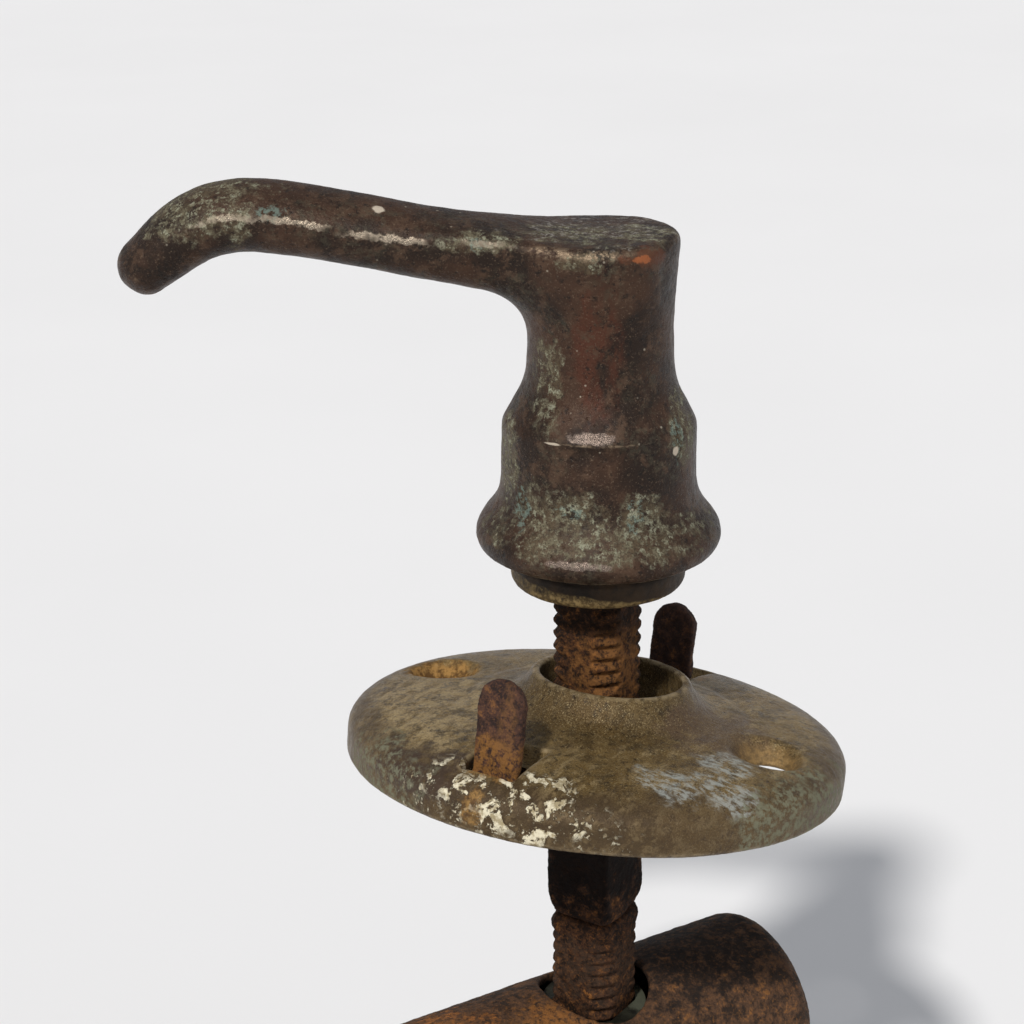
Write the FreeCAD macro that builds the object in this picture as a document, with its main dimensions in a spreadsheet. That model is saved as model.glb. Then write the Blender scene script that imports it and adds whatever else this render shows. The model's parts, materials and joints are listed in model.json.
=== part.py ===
"""Lever handle, rose and tubular latch of a light door, as a parametric FreeCAD document.

Frame, in millimetres: the origin is where the spindle's axis crosses the latch case's axis.
+Z runs along the spindle towards the lever, +X along the latch case towards the bolt.
"""
import FreeCAD, Part
import math
import os
import Sketcher
from FreeCAD import Placement, Rotation, Vector

DIMENSIONS = {
    # latch case: a drawn steel tube with a closed, rounded rear end
    "tube_dia": 22.2, "tube_wall": 1.2, "tube_rear": 25.1, "tube_round": 2.8,
    "hub_hole_dia": 12.6, "backset": 60.3,
    # faceplate on the door's edge
    "plate_thick": 1.8, "plate_wide": 24.0, "plate_tall": 54.0, "plate_corner": 6.35,
    "plate_spacing": 41.3, "screw_hole_dia": 4.6, "screw_head_dia": 8.4, "screw_land": 0.2,
    # bolt, its guide and its tail
    "bolt_dia": 14.0, "bolt_flat": 11.0, "bolt_rear": 44.0, "bolt_throw": 6.3, "bolt_gap": 0.3,
    "bevel_angle": 30.0, "guide_long": 9.0, "rod_dia": 5.0, "rod_depth": 9.0, "rod_rear": 12.5,
    "rod_pin_dia": 2.0, "nut_wide": 8.0, "nut_thick": 2.6, "seat_front": 21.5, "seat_thick": 2.0,
    "wire_dia": 1.0, "spring_dia": 8.4, "spring_pitch": 3.2,
    # retractor: a strip beside the cam, with a hook and a front plate
    "strip_thick": 1.0, "strip_high": 5.2, "strip_out": 9.2, "hook_thick": 1.5, "hook_front": 1.6,
    "hook_in": 6.0, "plate_front": 17.1,
    # cam in the latch case
    "journal_dia": 12.0, "journal_end": 8.2, "cam_core_dia": 11.4, "cam_half": 6.5,
    "lug_reach": 6.9, "lug_tip_dia": 2.0, "lug_half": 2.2, "lug_angle": 65.0,
    # spindle: a square bar in two pinned halves, with threaded corners
    "bar_side": 7.94, "thread_dia": 9.5, "bar_turn": 23.5, "joint_level": 20.6, "thread_from": 36.0,
    "bar_top": 84.0, "bar_bottom": -42.0, "tongue_thick": 2.6, "tongue_long": 6.4, "bar_pin_dia": 2.4,
    "bar_fit": 0.06,
    # rose: a domed shell with a raised boss, in its own frame
    "rose_dia": 54.8, "rose_rim": 2.75, "dome_top": 6.9, "boss_top": 10.7, "boss_foot_dia": 27.0,
    "boss_lip_dia": 17.0, "boss_bore_dia": 15.6, "boss_shift": 1.0, "hollow_dia": 50.0,
    "hollow_deep": 4.0, "window_in": 17.0, "window_out": 24.4, "window_wide": 6.2,
    "rose_screw_reach": 20.5, "rose_hole_dia": 4.6, "rose_sink_dia": 7.4,
    "rose_level": 38.68, "rose_off_x": 0.32, "rose_off_y": 0.11, "rose_lean": 8.97,
    "lean_azimuth": -157.35, "rose_spin": 27.47,
    # strap under the rose
    "strap_thick": 1.4, "strap_wide": 5.3, "strap_reach": 19.9, "strap_lift": 0.3, "tab_top": 14.9,
    "strap_slot_wide": 12.8, "strap_slot_long": 17.6, "ring_wide": 19.0, "strap_shift": 2.1,
    "strap_side": -0.1,
    # lever
    "collar_dia": 18.7, "collar_bottom": 60.87, "collar_top": 65.0, "spigot_dia": 14.2,
    "spigot_top": 70.0, "lever_bore_dia": 9.8, "flange_dia": 26.0, "body_dia": 20.4,
    "waist_dia": 15.2, "hub_top": 99.0, "shoulder_level": 78.9, "lever_azimuth": -34.45,
    "set_screw_dia": 4.0, "set_screw_level": 74.5, "set_screw_fit": 0.02, "bore_spare": 2.0,
    "spigot_fit": 0.05, "seat_gap": 0.1, "collar_edge": 0.5,
}

doc = FreeCAD.newDocument("lever_latch")
sheet = doc.addObject("Spreadsheet::Sheet", "Dim")
for row, (alias, number) in enumerate(DIMENSIONS.items(), start=1):
    sheet.set("A%d" % row, alias)
    sheet.set("B%d" % row, str(number))
    sheet.setAlias("B%d" % row, alias)
doc.recompute()


class Size:
    """A number together with the spreadsheet expression that it comes from."""

    def __init__(self, value, text):
        self.value = value
        self.text = text

    def _join(self, other, sign, value):
        return Size(value, "(%s %s %s)" % (self.text, sign, as_size(other).text))

    def __add__(self, other):
        return self._join(other, "+", self.value + as_size(other).value)

    def __sub__(self, other):
        return self._join(other, "-", self.value - as_size(other).value)

    def __mul__(self, other):
        return self._join(other, "*", self.value * as_size(other).value)

    def __truediv__(self, other):
        return self._join(other, "/", self.value / as_size(other).value)

    def __neg__(self):
        return Size(-self.value, "(0 - %s)" % self.text)


def as_size(number):
    return number if isinstance(number, Size) else Size(float(number), "%g" % number)


def dim(alias):
    """One driving dimension of the spreadsheet."""
    return Size(float(sheet.get(alias)), "Dim." + alias)


def bind(target, **properties):
    """Bind properties, such as Radius or Placement__Base__z, to their expressions."""
    for name, size in properties.items():
        target.setExpression(name.replace("__", "."), as_size(size).text)
    return target


# ---------------------------------------------------------------- Part primitives and booleans

def box(name, low, high):
    """A box between two corners, each given as three sizes."""
    low = [as_size(number) for number in low]
    spans = [as_size(top) - bottom for bottom, top in zip(low, high)]
    solid = doc.addObject("Part::Box", name)
    bind(solid, Length=spans[0], Width=spans[1], Height=spans[2])
    return bind(solid, Placement__Base__x=low[0], Placement__Base__y=low[1], Placement__Base__z=low[2])


TURN_TO = {"X": Rotation(Vector(0, 1, 0), 90), "Y": Rotation(Vector(1, 0, 0), -90), "Z": Rotation()}


def rod(name, diameter, start, end, along="Z", at=(0, 0)):
    """A cylinder along X, Y or Z. at is its axis in the other two axes, in X, Y, Z order."""
    solid = doc.addObject("Part::Cylinder", name)
    solid.Placement = Placement(Vector(), TURN_TO[along])
    bind(solid, Radius=as_size(diameter) / 2, Height=as_size(end) - start)
    across = iter(at)
    base = {axis: start if axis == along else next(across) for axis in "XYZ"}
    return bind(solid, Placement__Base__x=base["X"], Placement__Base__y=base["Y"],
                Placement__Base__z=base["Z"])


def taper(name, start_dia, end_dia, start, end, along="Z", at=(0, 0)):
    """A cone along X or Z, placed like a rod."""
    solid = doc.addObject("Part::Cone", name)
    solid.Placement = Placement(Vector(), TURN_TO[along])
    bind(solid, Radius1=as_size(start_dia) / 2, Radius2=as_size(end_dia) / 2, Height=as_size(end) - start)
    across = iter(at)
    base = {axis: start if axis == along else next(across) for axis in "XYZ"}
    return bind(solid, Placement__Base__x=base["X"], Placement__Base__y=base["Y"],
                Placement__Base__z=base["Z"])


def radial_rod(name, diameter, length, azimuth, level):
    """A level cylinder from the Z axis outwards, towards an azimuth in degrees."""
    turn = math.radians(azimuth)
    solid = doc.addObject("Part::Cylinder", name)
    solid.Placement = Placement(Vector(), Rotation(Vector(-math.sin(turn), math.cos(turn), 0), 90))
    return bind(solid, Radius=as_size(diameter) / 2, Height=length, Placement__Base__z=level)


def fuse(name, *solids):
    joined = doc.addObject("Part::MultiFuse", name)
    joined.Shapes = list(solids)
    joined.Refine = True
    return joined


def overlap(name, first, second):
    common = doc.addObject("Part::Common", name)
    common.Base = first
    common.Tool = second
    return common


def cut(name, base, *tools):
    tool = tools[0] if len(tools) == 1 else fuse(name + "_tool", *tools)
    remains = doc.addObject("Part::Cut", name)
    remains.Base = base
    remains.Tool = tool
    return remains


def double_d(name, diameter, flat, start, end):
    """A round bar along X with two flats that face +Y and -Y."""
    half = as_size(diameter) / 2
    flats = box(name + "_flats", (start, -as_size(flat) / 2, -half), (end, as_size(flat) / 2, half))
    return overlap(name, rod(name + "_round", diameter, start, end, "X"), flats)


def square_bar(name, side, bottom, top, corner_dia):
    """A square bar along Z with its corners turned down, set at the spindle's angle."""
    half = as_size(side) / 2
    bar = box(name + "_bar", (-half, -half, bottom), (half, half, top))
    trimmed = overlap(name, bar, rod(name + "_corners", corner_dia, bottom, top))
    return bind(trimmed, Placement__Rotation__Angle=dim("bar_turn"))


# ---------------------------------------------------------------- PartDesign bodies

def new_body(name):
    return doc.addObject("PartDesign::Body", name)


def origin_plane(body, role):
    return next(plane for plane in body.Origin.OriginFeatures if plane.Role == role)


def sketch_on(body, name, role, shift=0):
    """A sketch on one of the body's origin planes, moved by shift along its own first axis."""
    sketch = body.newObject("Sketcher::SketchObject", name)
    sketch.AttachmentSupport = [(origin_plane(body, role), "")]
    sketch.MapMode = "FlatFace"
    return bind(sketch, AttachmentOffset__Base__x=shift)


def closed_outline(sketch, corners):
    """Lines from corner to corner, each corner held at its own two sizes."""
    corners = [(as_size(across), as_size(up)) for across, up in corners]
    points = [Vector(across.value, up.value, 0) for across, up in corners]
    count = len(points)
    for index in range(count):
        sketch.addGeometry(Part.LineSegment(points[index], points[(index + 1) % count]), False)
    for index in range(count):
        sketch.addConstraint(Sketcher.Constraint("Coincident", index, 2, (index + 1) % count, 1))
    for index, (across, up) in enumerate(corners):
        hold(sketch, "DistanceX", -2, index, across)
        hold(sketch, "DistanceY", -1, index, up)
    return sketch


def hold(sketch, kind, axis, line, size):
    """Hold a line's start at a signed distance from the origin, or on the axis when it is zero."""
    if abs(size.value) < 1e-9:
        sketch.addConstraint(Sketcher.Constraint("PointOnObject", line, 1, axis))
        return
    place = sketch.addConstraint(Sketcher.Constraint(kind, -1, 1, line, 1, size.value))
    sketch.setExpression("Constraints[%d]" % place, size.text)


def circle_outline(sketch, diameter):
    half = as_size(diameter) / 2
    ring = sketch.addGeometry(Part.Circle(Vector(), Vector(0, 0, 1), half.value), False)
    sketch.addConstraint(Sketcher.Constraint("Coincident", ring, 3, -1, 1))
    place = sketch.addConstraint(Sketcher.Constraint("Radius", ring, half.value))
    sketch.setExpression("Constraints[%d]" % place, half.text)
    return sketch


def revolve(body, name, sketch, axis="V_Axis", kind="PartDesign::Revolution"):
    turned = body.newObject(kind, name)
    turned.Profile = sketch
    turned.ReferenceAxis = (sketch, [axis])
    turned.Angle = 360
    sketch.Visibility = False
    return turned


def pocket_through(body, name, sketch):
    """Cut a sketch right through the body, both ways."""
    doc.recompute()
    before = body.Shape.Volume
    pocket = body.newObject("PartDesign::Pocket", name)
    pocket.Profile = sketch
    pocket.Type = "ThroughAll"
    pocket.Midplane = True
    doc.recompute()
    if body.Shape.Volume > before - 1:
        raise RuntimeError("%s cut nothing" % name)
    return pocket


def label(solid, node):
    solid.Label = node
    NODES.append(solid)
    return solid


NODES = []


# ---------------------------------------------------------------- latch

def make_latch_tube():
    outer = dim("tube_dia") / 2
    inner = outer - dim("tube_wall")
    rear = -dim("tube_rear")
    front = dim("backset") - dim("plate_thick")
    inside = rear + dim("tube_wall")
    round_out = dim("tube_round")
    corner = round_out * 0.3
    body = new_body("latch_tube_body")
    profile = sketch_on(body, "latch_tube_profile", "XZ_Plane")
    closed_outline(profile, [
        (rear, 0), (rear, outer - round_out), (rear + corner, outer - corner), (rear + round_out, outer),
        (front, outer), (front, inner), (inside + round_out, inner), (inside, inner - round_out),
        (inside, 0)])
    revolve(body, "latch_tube_shell", profile, "H_Axis")
    hole = circle_outline(sketch_on(body, "latch_tube_hole", "XY_Plane"), dim("hub_hole_dia"))
    pocket_through(body, "latch_tube_cross_hole", hole)
    return label(body, "latch_tube")


def make_faceplate():
    back = dim("backset") - dim("plate_thick")
    front = dim("backset")
    wide = dim("plate_wide") / 2
    tall = dim("plate_tall") / 2
    corner = dim("plate_corner")
    flat_y = box("plate_y", (back, -tall, corner - wide), (front, tall, wide - corner))
    flat_z = box("plate_z", (back, corner - tall, -wide), (front, tall - corner, wide))
    rounds = [rod("plate_corner_%d%d" % (up > 0, side > 0), corner * 2, back, front, "X",
                  ((tall - corner) * up, (wide - corner) * side)) for up in (-1, 1) for side in (-1, 1)]
    blank = fuse("plate_blank", flat_y, flat_z, *rounds)
    gap = dim("bolt_gap") * 2
    tools = [double_d("plate_slot", dim("bolt_dia") + gap, dim("bolt_flat") + gap, back - 1, front + 1)]
    for side in (-1, 1):
        level = dim("plate_spacing") / 2 * side
        tools.append(rod("plate_hole_%d" % (side > 0), dim("screw_hole_dia"), back - 1, front + 1, "X",
                         (level, 0)))
        tools.append(taper("plate_sink_%d" % (side > 0), dim("screw_hole_dia"), dim("screw_head_dia"),
                           back + dim("screw_land"), front, "X", (level, 0)))
    return label(cut("faceplate_solid", blank, *tools), "faceplate")


def make_bolt_guide():
    front = dim("backset") - dim("plate_thick")
    rear = front - dim("guide_long")
    gap = dim("bolt_gap") * 2
    bush = rod("guide_bush", dim("tube_dia") - dim("tube_wall") * 2, rear, front, "X")
    hole = double_d("guide_hole", dim("bolt_dia") + gap, dim("bolt_flat") + gap, rear - 1, front + 1)
    return label(cut("bolt_guide_solid", bush, hole), "bolt_guide")


def make_latch_bolt():
    """The nose is bevelled down to the faceplate on its -Z side."""
    rear = dim("bolt_rear")
    nose = dim("backset") + dim("bolt_throw")
    bar = double_d("bolt_bar", dim("bolt_dia"), dim("bolt_flat"), rear, nose)
    bevel = box("bolt_bevel", (0, -dim("bolt_dia"), -dim("bolt_dia") * 2), (20, dim("bolt_dia"), 0))
    bevel.Placement = Placement(Vector(), Rotation(Vector(0, 1, 0), sheet.get("bevel_angle")))
    bind(bevel, Placement__Rotation__Angle=dim("bevel_angle"), Placement__Base__x=nose,
         Placement__Base__y=-dim("bolt_dia"), Placement__Base__z=dim("bolt_dia") / 4)
    socket = rod("bolt_socket", dim("rod_dia"), rear - 1, rear + dim("rod_depth"), "X")
    across = rod("bolt_cross_hole", dim("rod_pin_dia"), -dim("bolt_dia"), dim("bolt_dia"), "Y",
                 (rear + dim("rod_depth") / 2, 0))
    return label(cut("latch_bolt_solid", bar, bevel, socket, across), "latch_bolt")


def make_bolt_tail():
    end = dim("bolt_rear") + dim("rod_depth")
    tail = rod("tail_rod", dim("rod_dia"), dim("rod_rear"), end, "X")
    across = rod("tail_cross_hole", dim("rod_pin_dia"), -dim("rod_dia"), dim("rod_dia"), "Y",
                 (dim("bolt_rear") + dim("rod_depth") / 2, 0))
    return label(cut("bolt_tail_solid", tail, across), "bolt_tail")


def make_bolt_tail_pin():
    half = dim("bolt_flat") / 2 - 0.2
    pin = rod("bolt_tail_pin_solid", dim("rod_pin_dia"), -half, half, "Y",
              (dim("bolt_rear") + dim("rod_depth") / 2, 0))
    return label(pin, "bolt_tail_pin")


def make_tail_nut():
    """A square nut behind the retractor's front plate."""
    front = dim("plate_front") - dim("hook_thick")
    rear = front - dim("nut_thick")
    half = dim("nut_wide") / 2
    blank = box("nut_blank", (rear, -half, -half), (front, half, half))
    hole = rod("nut_hole", dim("rod_dia"), rear - 1, front + 1, "X")
    return label(cut("tail_nut_solid", blank, hole), "tail_nut")


def make_retractor():
    """A strip beside the cam. Its hook takes the cam's lug and its front plate takes the tail."""
    half = dim("strip_high") / 2
    rear = dim("hook_front") - dim("hook_thick")
    out = dim("strip_out")
    strip = box("retractor_strip", (rear, out - dim("strip_thick"), -half), (dim("plate_front"), out, half))
    hook = box("retractor_hook", (rear, dim("hook_in"), -half), (dim("hook_front"), out, half))
    plate = box("retractor_plate", (dim("plate_front") - dim("hook_thick"), -dim("nut_wide") / 2 - 1, -half),
                (dim("plate_front"), out, half))
    boss = rod("retractor_boss", dim("nut_wide") + 2, dim("plate_front") - dim("hook_thick"),
               dim("plate_front"), "X")
    hole = rod("retractor_hole", dim("rod_dia"), 0, dim("plate_front") + 1, "X")
    blank = fuse("retractor_blank", strip, hook, plate, boss)
    return label(cut("retractor_solid", blank, hole), "retractor")


def make_spring_seat():
    rear = dim("seat_front") - dim("seat_thick")
    disc = rod("seat_disc", dim("tube_dia") - dim("tube_wall") * 2, rear, dim("seat_front"), "X")
    hole = rod("seat_hole", dim("rod_dia") + dim("bolt_gap") * 2, rear - 1, dim("seat_front") + 1, "X")
    return label(cut("spring_seat_solid", disc, hole), "spring_seat")


def make_bolt_spring():
    """A round wire swept along a helix between the seat and the bolt."""
    wire_half = dim("wire_dia") / 2
    start = dim("seat_front") + dim("wire_dia")
    coil = doc.addObject("Part::Helix", "spring_path")
    bind(coil, Pitch=dim("spring_pitch"), Radius=dim("spring_dia") / 2,
         Height=dim("bolt_rear") - dim("seat_front") - dim("wire_dia") * 2)
    wire = doc.addObject("Part::Circle", "spring_wire")
    wire.Placement = Placement(Vector(), Rotation(Vector(1, 0, 0), 90))
    bind(wire, Radius=wire_half, Placement__Base__x=dim("spring_dia") / 2)
    swept = doc.addObject("Part::Sweep", "spring_sweep")
    swept.Sections = [wire]
    swept.Spine = (coil, ["Edge1"])
    swept.Solid = True
    swept.Frenet = True
    swept.Placement = Placement(Vector(), TURN_TO["X"])
    bind(swept, Placement__Base__x=start)
    return label(swept, "bolt_spring")


def make_spindle_hub():
    """The bronze cam: a core, two journals in the case's cross holes and one lug."""
    half = dim("cam_half")
    end = dim("journal_end")
    round_part = fuse("hub_round", rod("hub_core", dim("cam_core_dia"), -end, end),
                      rod("hub_journal_low", dim("journal_dia"), -end, -half),
                      rod("hub_journal_high", dim("journal_dia"), half, end))
    arm = box("hub_lug_arm", (dim("cam_core_dia") / 2 - 1, -dim("lug_tip_dia") / 2, -dim("lug_half")),
              (dim("lug_reach"), dim("lug_tip_dia") / 2, dim("lug_half")))
    tip = rod("hub_lug_tip", dim("lug_tip_dia"), -dim("lug_half"), dim("lug_half"), "Z",
              (dim("lug_reach"), 0))
    lug = bind(fuse("hub_lug", arm, tip), Placement__Rotation__Angle=dim("lug_angle"))
    hole = square_bar("hub_hole", dim("bar_side") + dim("bar_fit") * 2, -end - 1, end + 1,
                      dim("thread_dia") + dim("bar_fit") * 2)
    return label(cut("spindle_hub_solid", fuse("hub_blank", round_part, lug), hole), "spindle_hub")


# ---------------------------------------------------------------- spindle

def spindle_tongue(name):
    """The tongue of the lower half, which the upper half's fork takes."""
    thick = dim("tongue_thick") / 2
    half = dim("bar_side") / 2
    return box(name, (-half, -thick, dim("joint_level") - 1),
               (half, thick, dim("joint_level") + dim("tongue_long")))


def turned_with_bar(solid):
    """Set a finished solid at the spindle's angle."""
    return bind(solid, Placement__Rotation__Angle=dim("bar_turn"))


def pin_across(name, half_long):
    level = dim("joint_level") + dim("tongue_long") / 2
    return rod(name, dim("bar_pin_dia"), -half_long, half_long, "Y", (0, level))


def make_spindle_upper():
    half = dim("bar_side") / 2
    bar = box("upper_bar", (-half, -half, dim("joint_level")), (half, half, dim("bar_top")))
    corners = fuse("upper_corners",
                   rod("upper_plain", dim("bar_side") * 1.5, dim("joint_level"), dim("thread_from")),
                   rod("upper_thread", dim("thread_dia"), dim("thread_from"), dim("bar_top")))
    blank = overlap("upper_blank", bar, corners)
    fork = cut("upper_fork", blank, spindle_tongue("upper_slot"), pin_across("upper_pin_hole", half + 1))
    return label(turned_with_bar(fork), "spindle_upper")


def make_spindle_lower():
    half = dim("bar_side") / 2
    bar = box("lower_bar", (-half, -half, dim("bar_bottom")), (half, half, dim("joint_level")))
    trimmed = overlap("lower_blank", bar,
                      rod("lower_thread", dim("thread_dia"), dim("bar_bottom"), dim("joint_level")))
    joined = fuse("lower_joined", trimmed, spindle_tongue("lower_tongue"))
    return label(turned_with_bar(cut("lower_drilled", joined, pin_across("lower_pin_hole", half + 1))),
                 "spindle_lower")


def make_spindle_pin():
    """The pin's ends are dressed down to the bar's flats."""
    half = dim("bar_side") / 2
    bar = box("spindle_pin_bar", (-half, -half, dim("joint_level")),
              (half, half, dim("joint_level") + dim("tongue_long")))
    pin = overlap("spindle_pin_solid", pin_across("spindle_pin_rod", half + 1), bar)
    return label(turned_with_bar(pin), "spindle_pin")


# ---------------------------------------------------------------- rose and strap

def rose_placement():
    """Where the loose rose rests on the spindle: leaning, and turned about its own axis."""
    azimuth = math.radians(sheet.get("lean_azimuth"))
    lean_axis = Vector(-math.sin(azimuth), math.cos(azimuth), 0)
    lean = Rotation(lean_axis, sheet.get("rose_lean"))
    spin = Rotation(Vector(0, 0, 1), sheet.get("rose_spin"))
    base = Vector(sheet.get("rose_off_x"), sheet.get("rose_off_y"), sheet.get("rose_level"))
    return Placement(base, lean * spin)


def make_rose():
    rim = dim("rose_dia") / 2
    top = dim("dome_top")
    step = dim("rose_rim")
    rise = top - step
    body = new_body("rose_body")
    dome = sketch_on(body, "rose_dome", "XZ_Plane")
    closed_outline(dome, [
        (rim - 0.4, 0), (rim, 0.5), (rim, step), (rim - 0.3, step + rise * 0.28),
        (rim - 1.3, step + rise * 0.5), (rim - 3.4, step + rise * 0.72), (rim - 7.4, step + rise * 0.9),
        (dim("boss_foot_dia") / 2, top), (0, top), (0, dim("hollow_deep")),
        (dim("hollow_dia") / 2 - 1.4, dim("hollow_deep")), (dim("hollow_dia") / 2, dim("hollow_deep") - 1.2),
        (dim("hollow_dia") / 2, 0)])
    revolve(body, "rose_shell", dome)
    foot = dim("boss_foot_dia") / 2
    lip = dim("boss_lip_dia") / 2
    tall = dim("boss_top") - top
    boss = sketch_on(body, "rose_boss", "YZ_Plane", dim("boss_shift"))
    closed_outline(boss, [
        (0, top - 1), (foot - 0.6, top - 1), (foot - 0.6, top - 0.1), (foot - 2.4, top + tall * 0.2),
        (foot - 3.8, top + tall * 0.5), (lip + 0.3, top + tall * 0.86), (lip, dim("boss_top")),
        (0, dim("boss_top"))])
    revolve(body, "rose_boss_rise", boss)
    bore = circle_outline(sketch_on(body, "rose_bore", "XY_Plane"), dim("boss_bore_dia"))
    bind(bore, AttachmentOffset__Base__y=dim("boss_shift"))
    pocket_through(body, "rose_bore_cut", bore)
    for side, near, far in (("front", dim("window_in"), dim("window_out")),
                            ("back", -dim("window_out"), -dim("window_in"))):
        half = dim("window_wide") / 2
        window = sketch_on(body, "rose_window_" + side, "XY_Plane")
        closed_outline(window, [(near, -half), (far, -half), (far, half), (near, half)])
        pocket_through(body, "rose_window_cut_" + side, window)
    tools = []
    for side in (-1, 1):
        reach = dim("rose_screw_reach") * side
        tools.append(rod("rose_hole_%d" % (side > 0), dim("rose_hole_dia"), -1, top + 1, "Z", (0, reach)))
        tools.append(taper("rose_sink_%d" % (side > 0), dim("rose_hole_dia"), dim("rose_sink_dia"),
                           top - 2.6, top - 0.2, "Z", (0, reach)))
    solid = cut("rose_solid", body, *tools)
    solid.Placement = rose_placement()
    return label(solid, "rose")


def make_yoke_strap():
    """A flat strap with an oblong ring round the spindle and two upright tabs."""
    bottom = dim("strap_lift")
    top = bottom + dim("strap_thick")
    reach = dim("strap_reach")
    half_wide = dim("strap_wide") / 2
    half_thick = dim("strap_thick") / 2
    pieces = [box("strap_flat", (-reach - half_thick, -half_wide, bottom),
                  (reach + half_thick, half_wide, top))]
    ring_reach = (dim("strap_slot_long") - dim("strap_slot_wide")) / 2
    for side in (-1, 1):
        shift = ring_reach * side
        pieces.append(rod("strap_ring_%d" % (side > 0), dim("ring_wide"), bottom, top, "Z", (shift, 0)))
        low = reach * side - half_thick
        high = reach * side + half_thick
        level = dim("tab_top") - half_wide
        pieces.append(box("strap_tab_%d" % (side > 0), (low, -half_wide, bottom), (high, half_wide, level)))
        pieces.append(rod("strap_tab_end_%d" % (side > 0), dim("strap_wide"), low, high, "X", (0, level)))
    half_ring = dim("ring_wide") / 2
    pieces.append(box("strap_ring_mid", (-ring_reach, -half_ring, bottom), (ring_reach, half_ring, top)))
    half_slot = dim("strap_slot_wide") / 2
    slot = [box("strap_slot_mid", (-ring_reach, -half_slot, 0), (ring_reach, half_slot, top + 1))]
    for side in (-1, 1):
        slot.append(rod("strap_slot_%d" % (side > 0), dim("strap_slot_wide"), 0, top + 1, "Z",
                        (ring_reach * side, 0)))
    solid = cut("yoke_strap_solid", fuse("strap_blank", *pieces), *slot)
    inward = Placement(Vector(sheet.get("strap_shift"), sheet.get("strap_side"), 0), Rotation())
    solid.Placement = rose_placement() * inward
    return label(solid, "yoke_strap")


# ---------------------------------------------------------------- lever

def make_lever_collar():
    body = new_body("lever_collar_body")
    profile = sketch_on(body, "lever_collar_profile", "XZ_Plane")
    outer = dim("collar_dia") / 2
    bore = dim("lever_bore_dia") / 2
    bottom = dim("collar_bottom")
    closed_outline(profile, [
        (bore, bottom), (outer - dim("collar_edge"), bottom), (outer, bottom + dim("collar_edge")),
        (outer, dim("collar_top")), (dim("spigot_dia") / 2, dim("collar_top")),
        (dim("spigot_dia") / 2, dim("spigot_top")), (bore, dim("spigot_top"))])
    revolve(body, "lever_collar_ring", profile)
    return label(body, "lever_collar")


# stations of the arm's middle line: reach from the spindle's axis, level under the hub's top,
# slope in degrees, half height, half width
ARM_STATIONS = (
    (1.5, 4.2, 2, 4.0, 6.8),
    (9.0, 3.3, 6, 4.0, 6.2),
    (16.0, 1.9, 10, 3.7, 5.6),
    (24.0, 0.4, 10, 3.6, 5.4),
    (31.5, -1.1, 8, 3.6, 5.3),
    (37.0, -1.55, -4, 3.6, 5.2),
    (41.8, -0.2, -28, 3.6, 5.1),
    (45.6, 2.6, -44, 3.3, 4.7),
    (48.3, 5.3, -50, 1.9, 3.0),
)


def make_arm():
    sections = []
    for number, (reach, drop, slope, half_high, half_wide) in enumerate(ARM_STATIONS):
        section = doc.addObject("Part::Ellipse", "arm_section_%d" % number)
        bind(section, MajorRadius=half_wide, MinorRadius=half_high)
        azimuth = Rotation(Vector(0, 0, 1), sheet.get("lever_azimuth"))
        upright = Rotation(Vector(0, 1, 0), Vector(0, 0, 1), Vector(1, 0, 0), "ZXY")
        tilt = Rotation(Vector(0, 1, 0), -slope)
        level = sheet.get("hub_top") - drop
        section.Placement = Placement(azimuth.multVec(Vector(reach, 0, level)), azimuth * tilt * upright)
        sections.append(section)
    arm = doc.addObject("Part::Loft", "lever_arm")
    arm.Sections = sections
    arm.Solid = True
    arm.Ruled = False
    return arm


def make_lever_handle():
    flange = dim("flange_dia") / 2
    shank = dim("body_dia") / 2
    waist = dim("waist_dia") / 2
    base = dim("collar_top")
    shoulder = dim("shoulder_level")
    top = dim("hub_top")
    socket = dim("spigot_dia") / 2 + dim("spigot_fit")
    socket_end = dim("spigot_top") + dim("seat_gap")
    bore_end = dim("bar_top") + dim("bore_spare")
    body = new_body("lever_hub_body")
    profile = sketch_on(body, "lever_hub_profile", "XZ_Plane")
    closed_outline(profile, [
        (socket, base), (flange - 0.8, base), (flange - 0.1, base + 0.8),
        (flange, base + 1.6), (flange - 0.5, base + 3.0), (flange - 1.8, base + 4.7),
        (shank + 0.3, base + 6.2), (shank, base + 7.6), (shank, shoulder), (shank - 0.8, shoulder + 2.0),
        (waist + 0.6, shoulder + 4.3), (waist, shoulder + 7.0), (waist, shoulder + 11.0),
        (waist + 0.3, shoulder + 15.5), (waist + 0.4, top - 1.6), (waist - 0.9, top - 0.3), (0, top),
        (0, bore_end), (dim("lever_bore_dia") / 2, bore_end), (dim("lever_bore_dia") / 2, socket_end),
        (socket, socket_end)])
    revolve(body, "lever_hub", profile)
    whole = fuse("lever_whole", body, make_arm())
    hole = radial_rod("lever_screw_hole", dim("set_screw_dia") + dim("set_screw_fit"), shank + 1,
                      sheet.get("bar_turn") - 180, dim("set_screw_level"))
    bore = rod("lever_bore", dim("lever_bore_dia"), dim("spigot_top"), bore_end)
    return label(cut("lever_handle_solid", whole, hole, bore), "lever_handle")


def make_lever_set_screw():
    """A headless screw whose end rests on a flat of the spindle."""
    start = dim("bar_side") / 2
    screw = rod("set_screw_rod", dim("set_screw_dia"), start, dim("body_dia") / 2 - 0.6, "X",
                (0, dim("set_screw_level")))
    slot = box("set_screw_slot", (dim("body_dia") / 2 - 1.6, -0.4, 0), (dim("body_dia") / 2 + 1, 0.4, 99))
    solid = cut("set_screw_solid", screw, slot)
    return label(bind(solid, Placement__Rotation__Angle=dim("bar_turn") - 180), "lever_set_screw")


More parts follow.
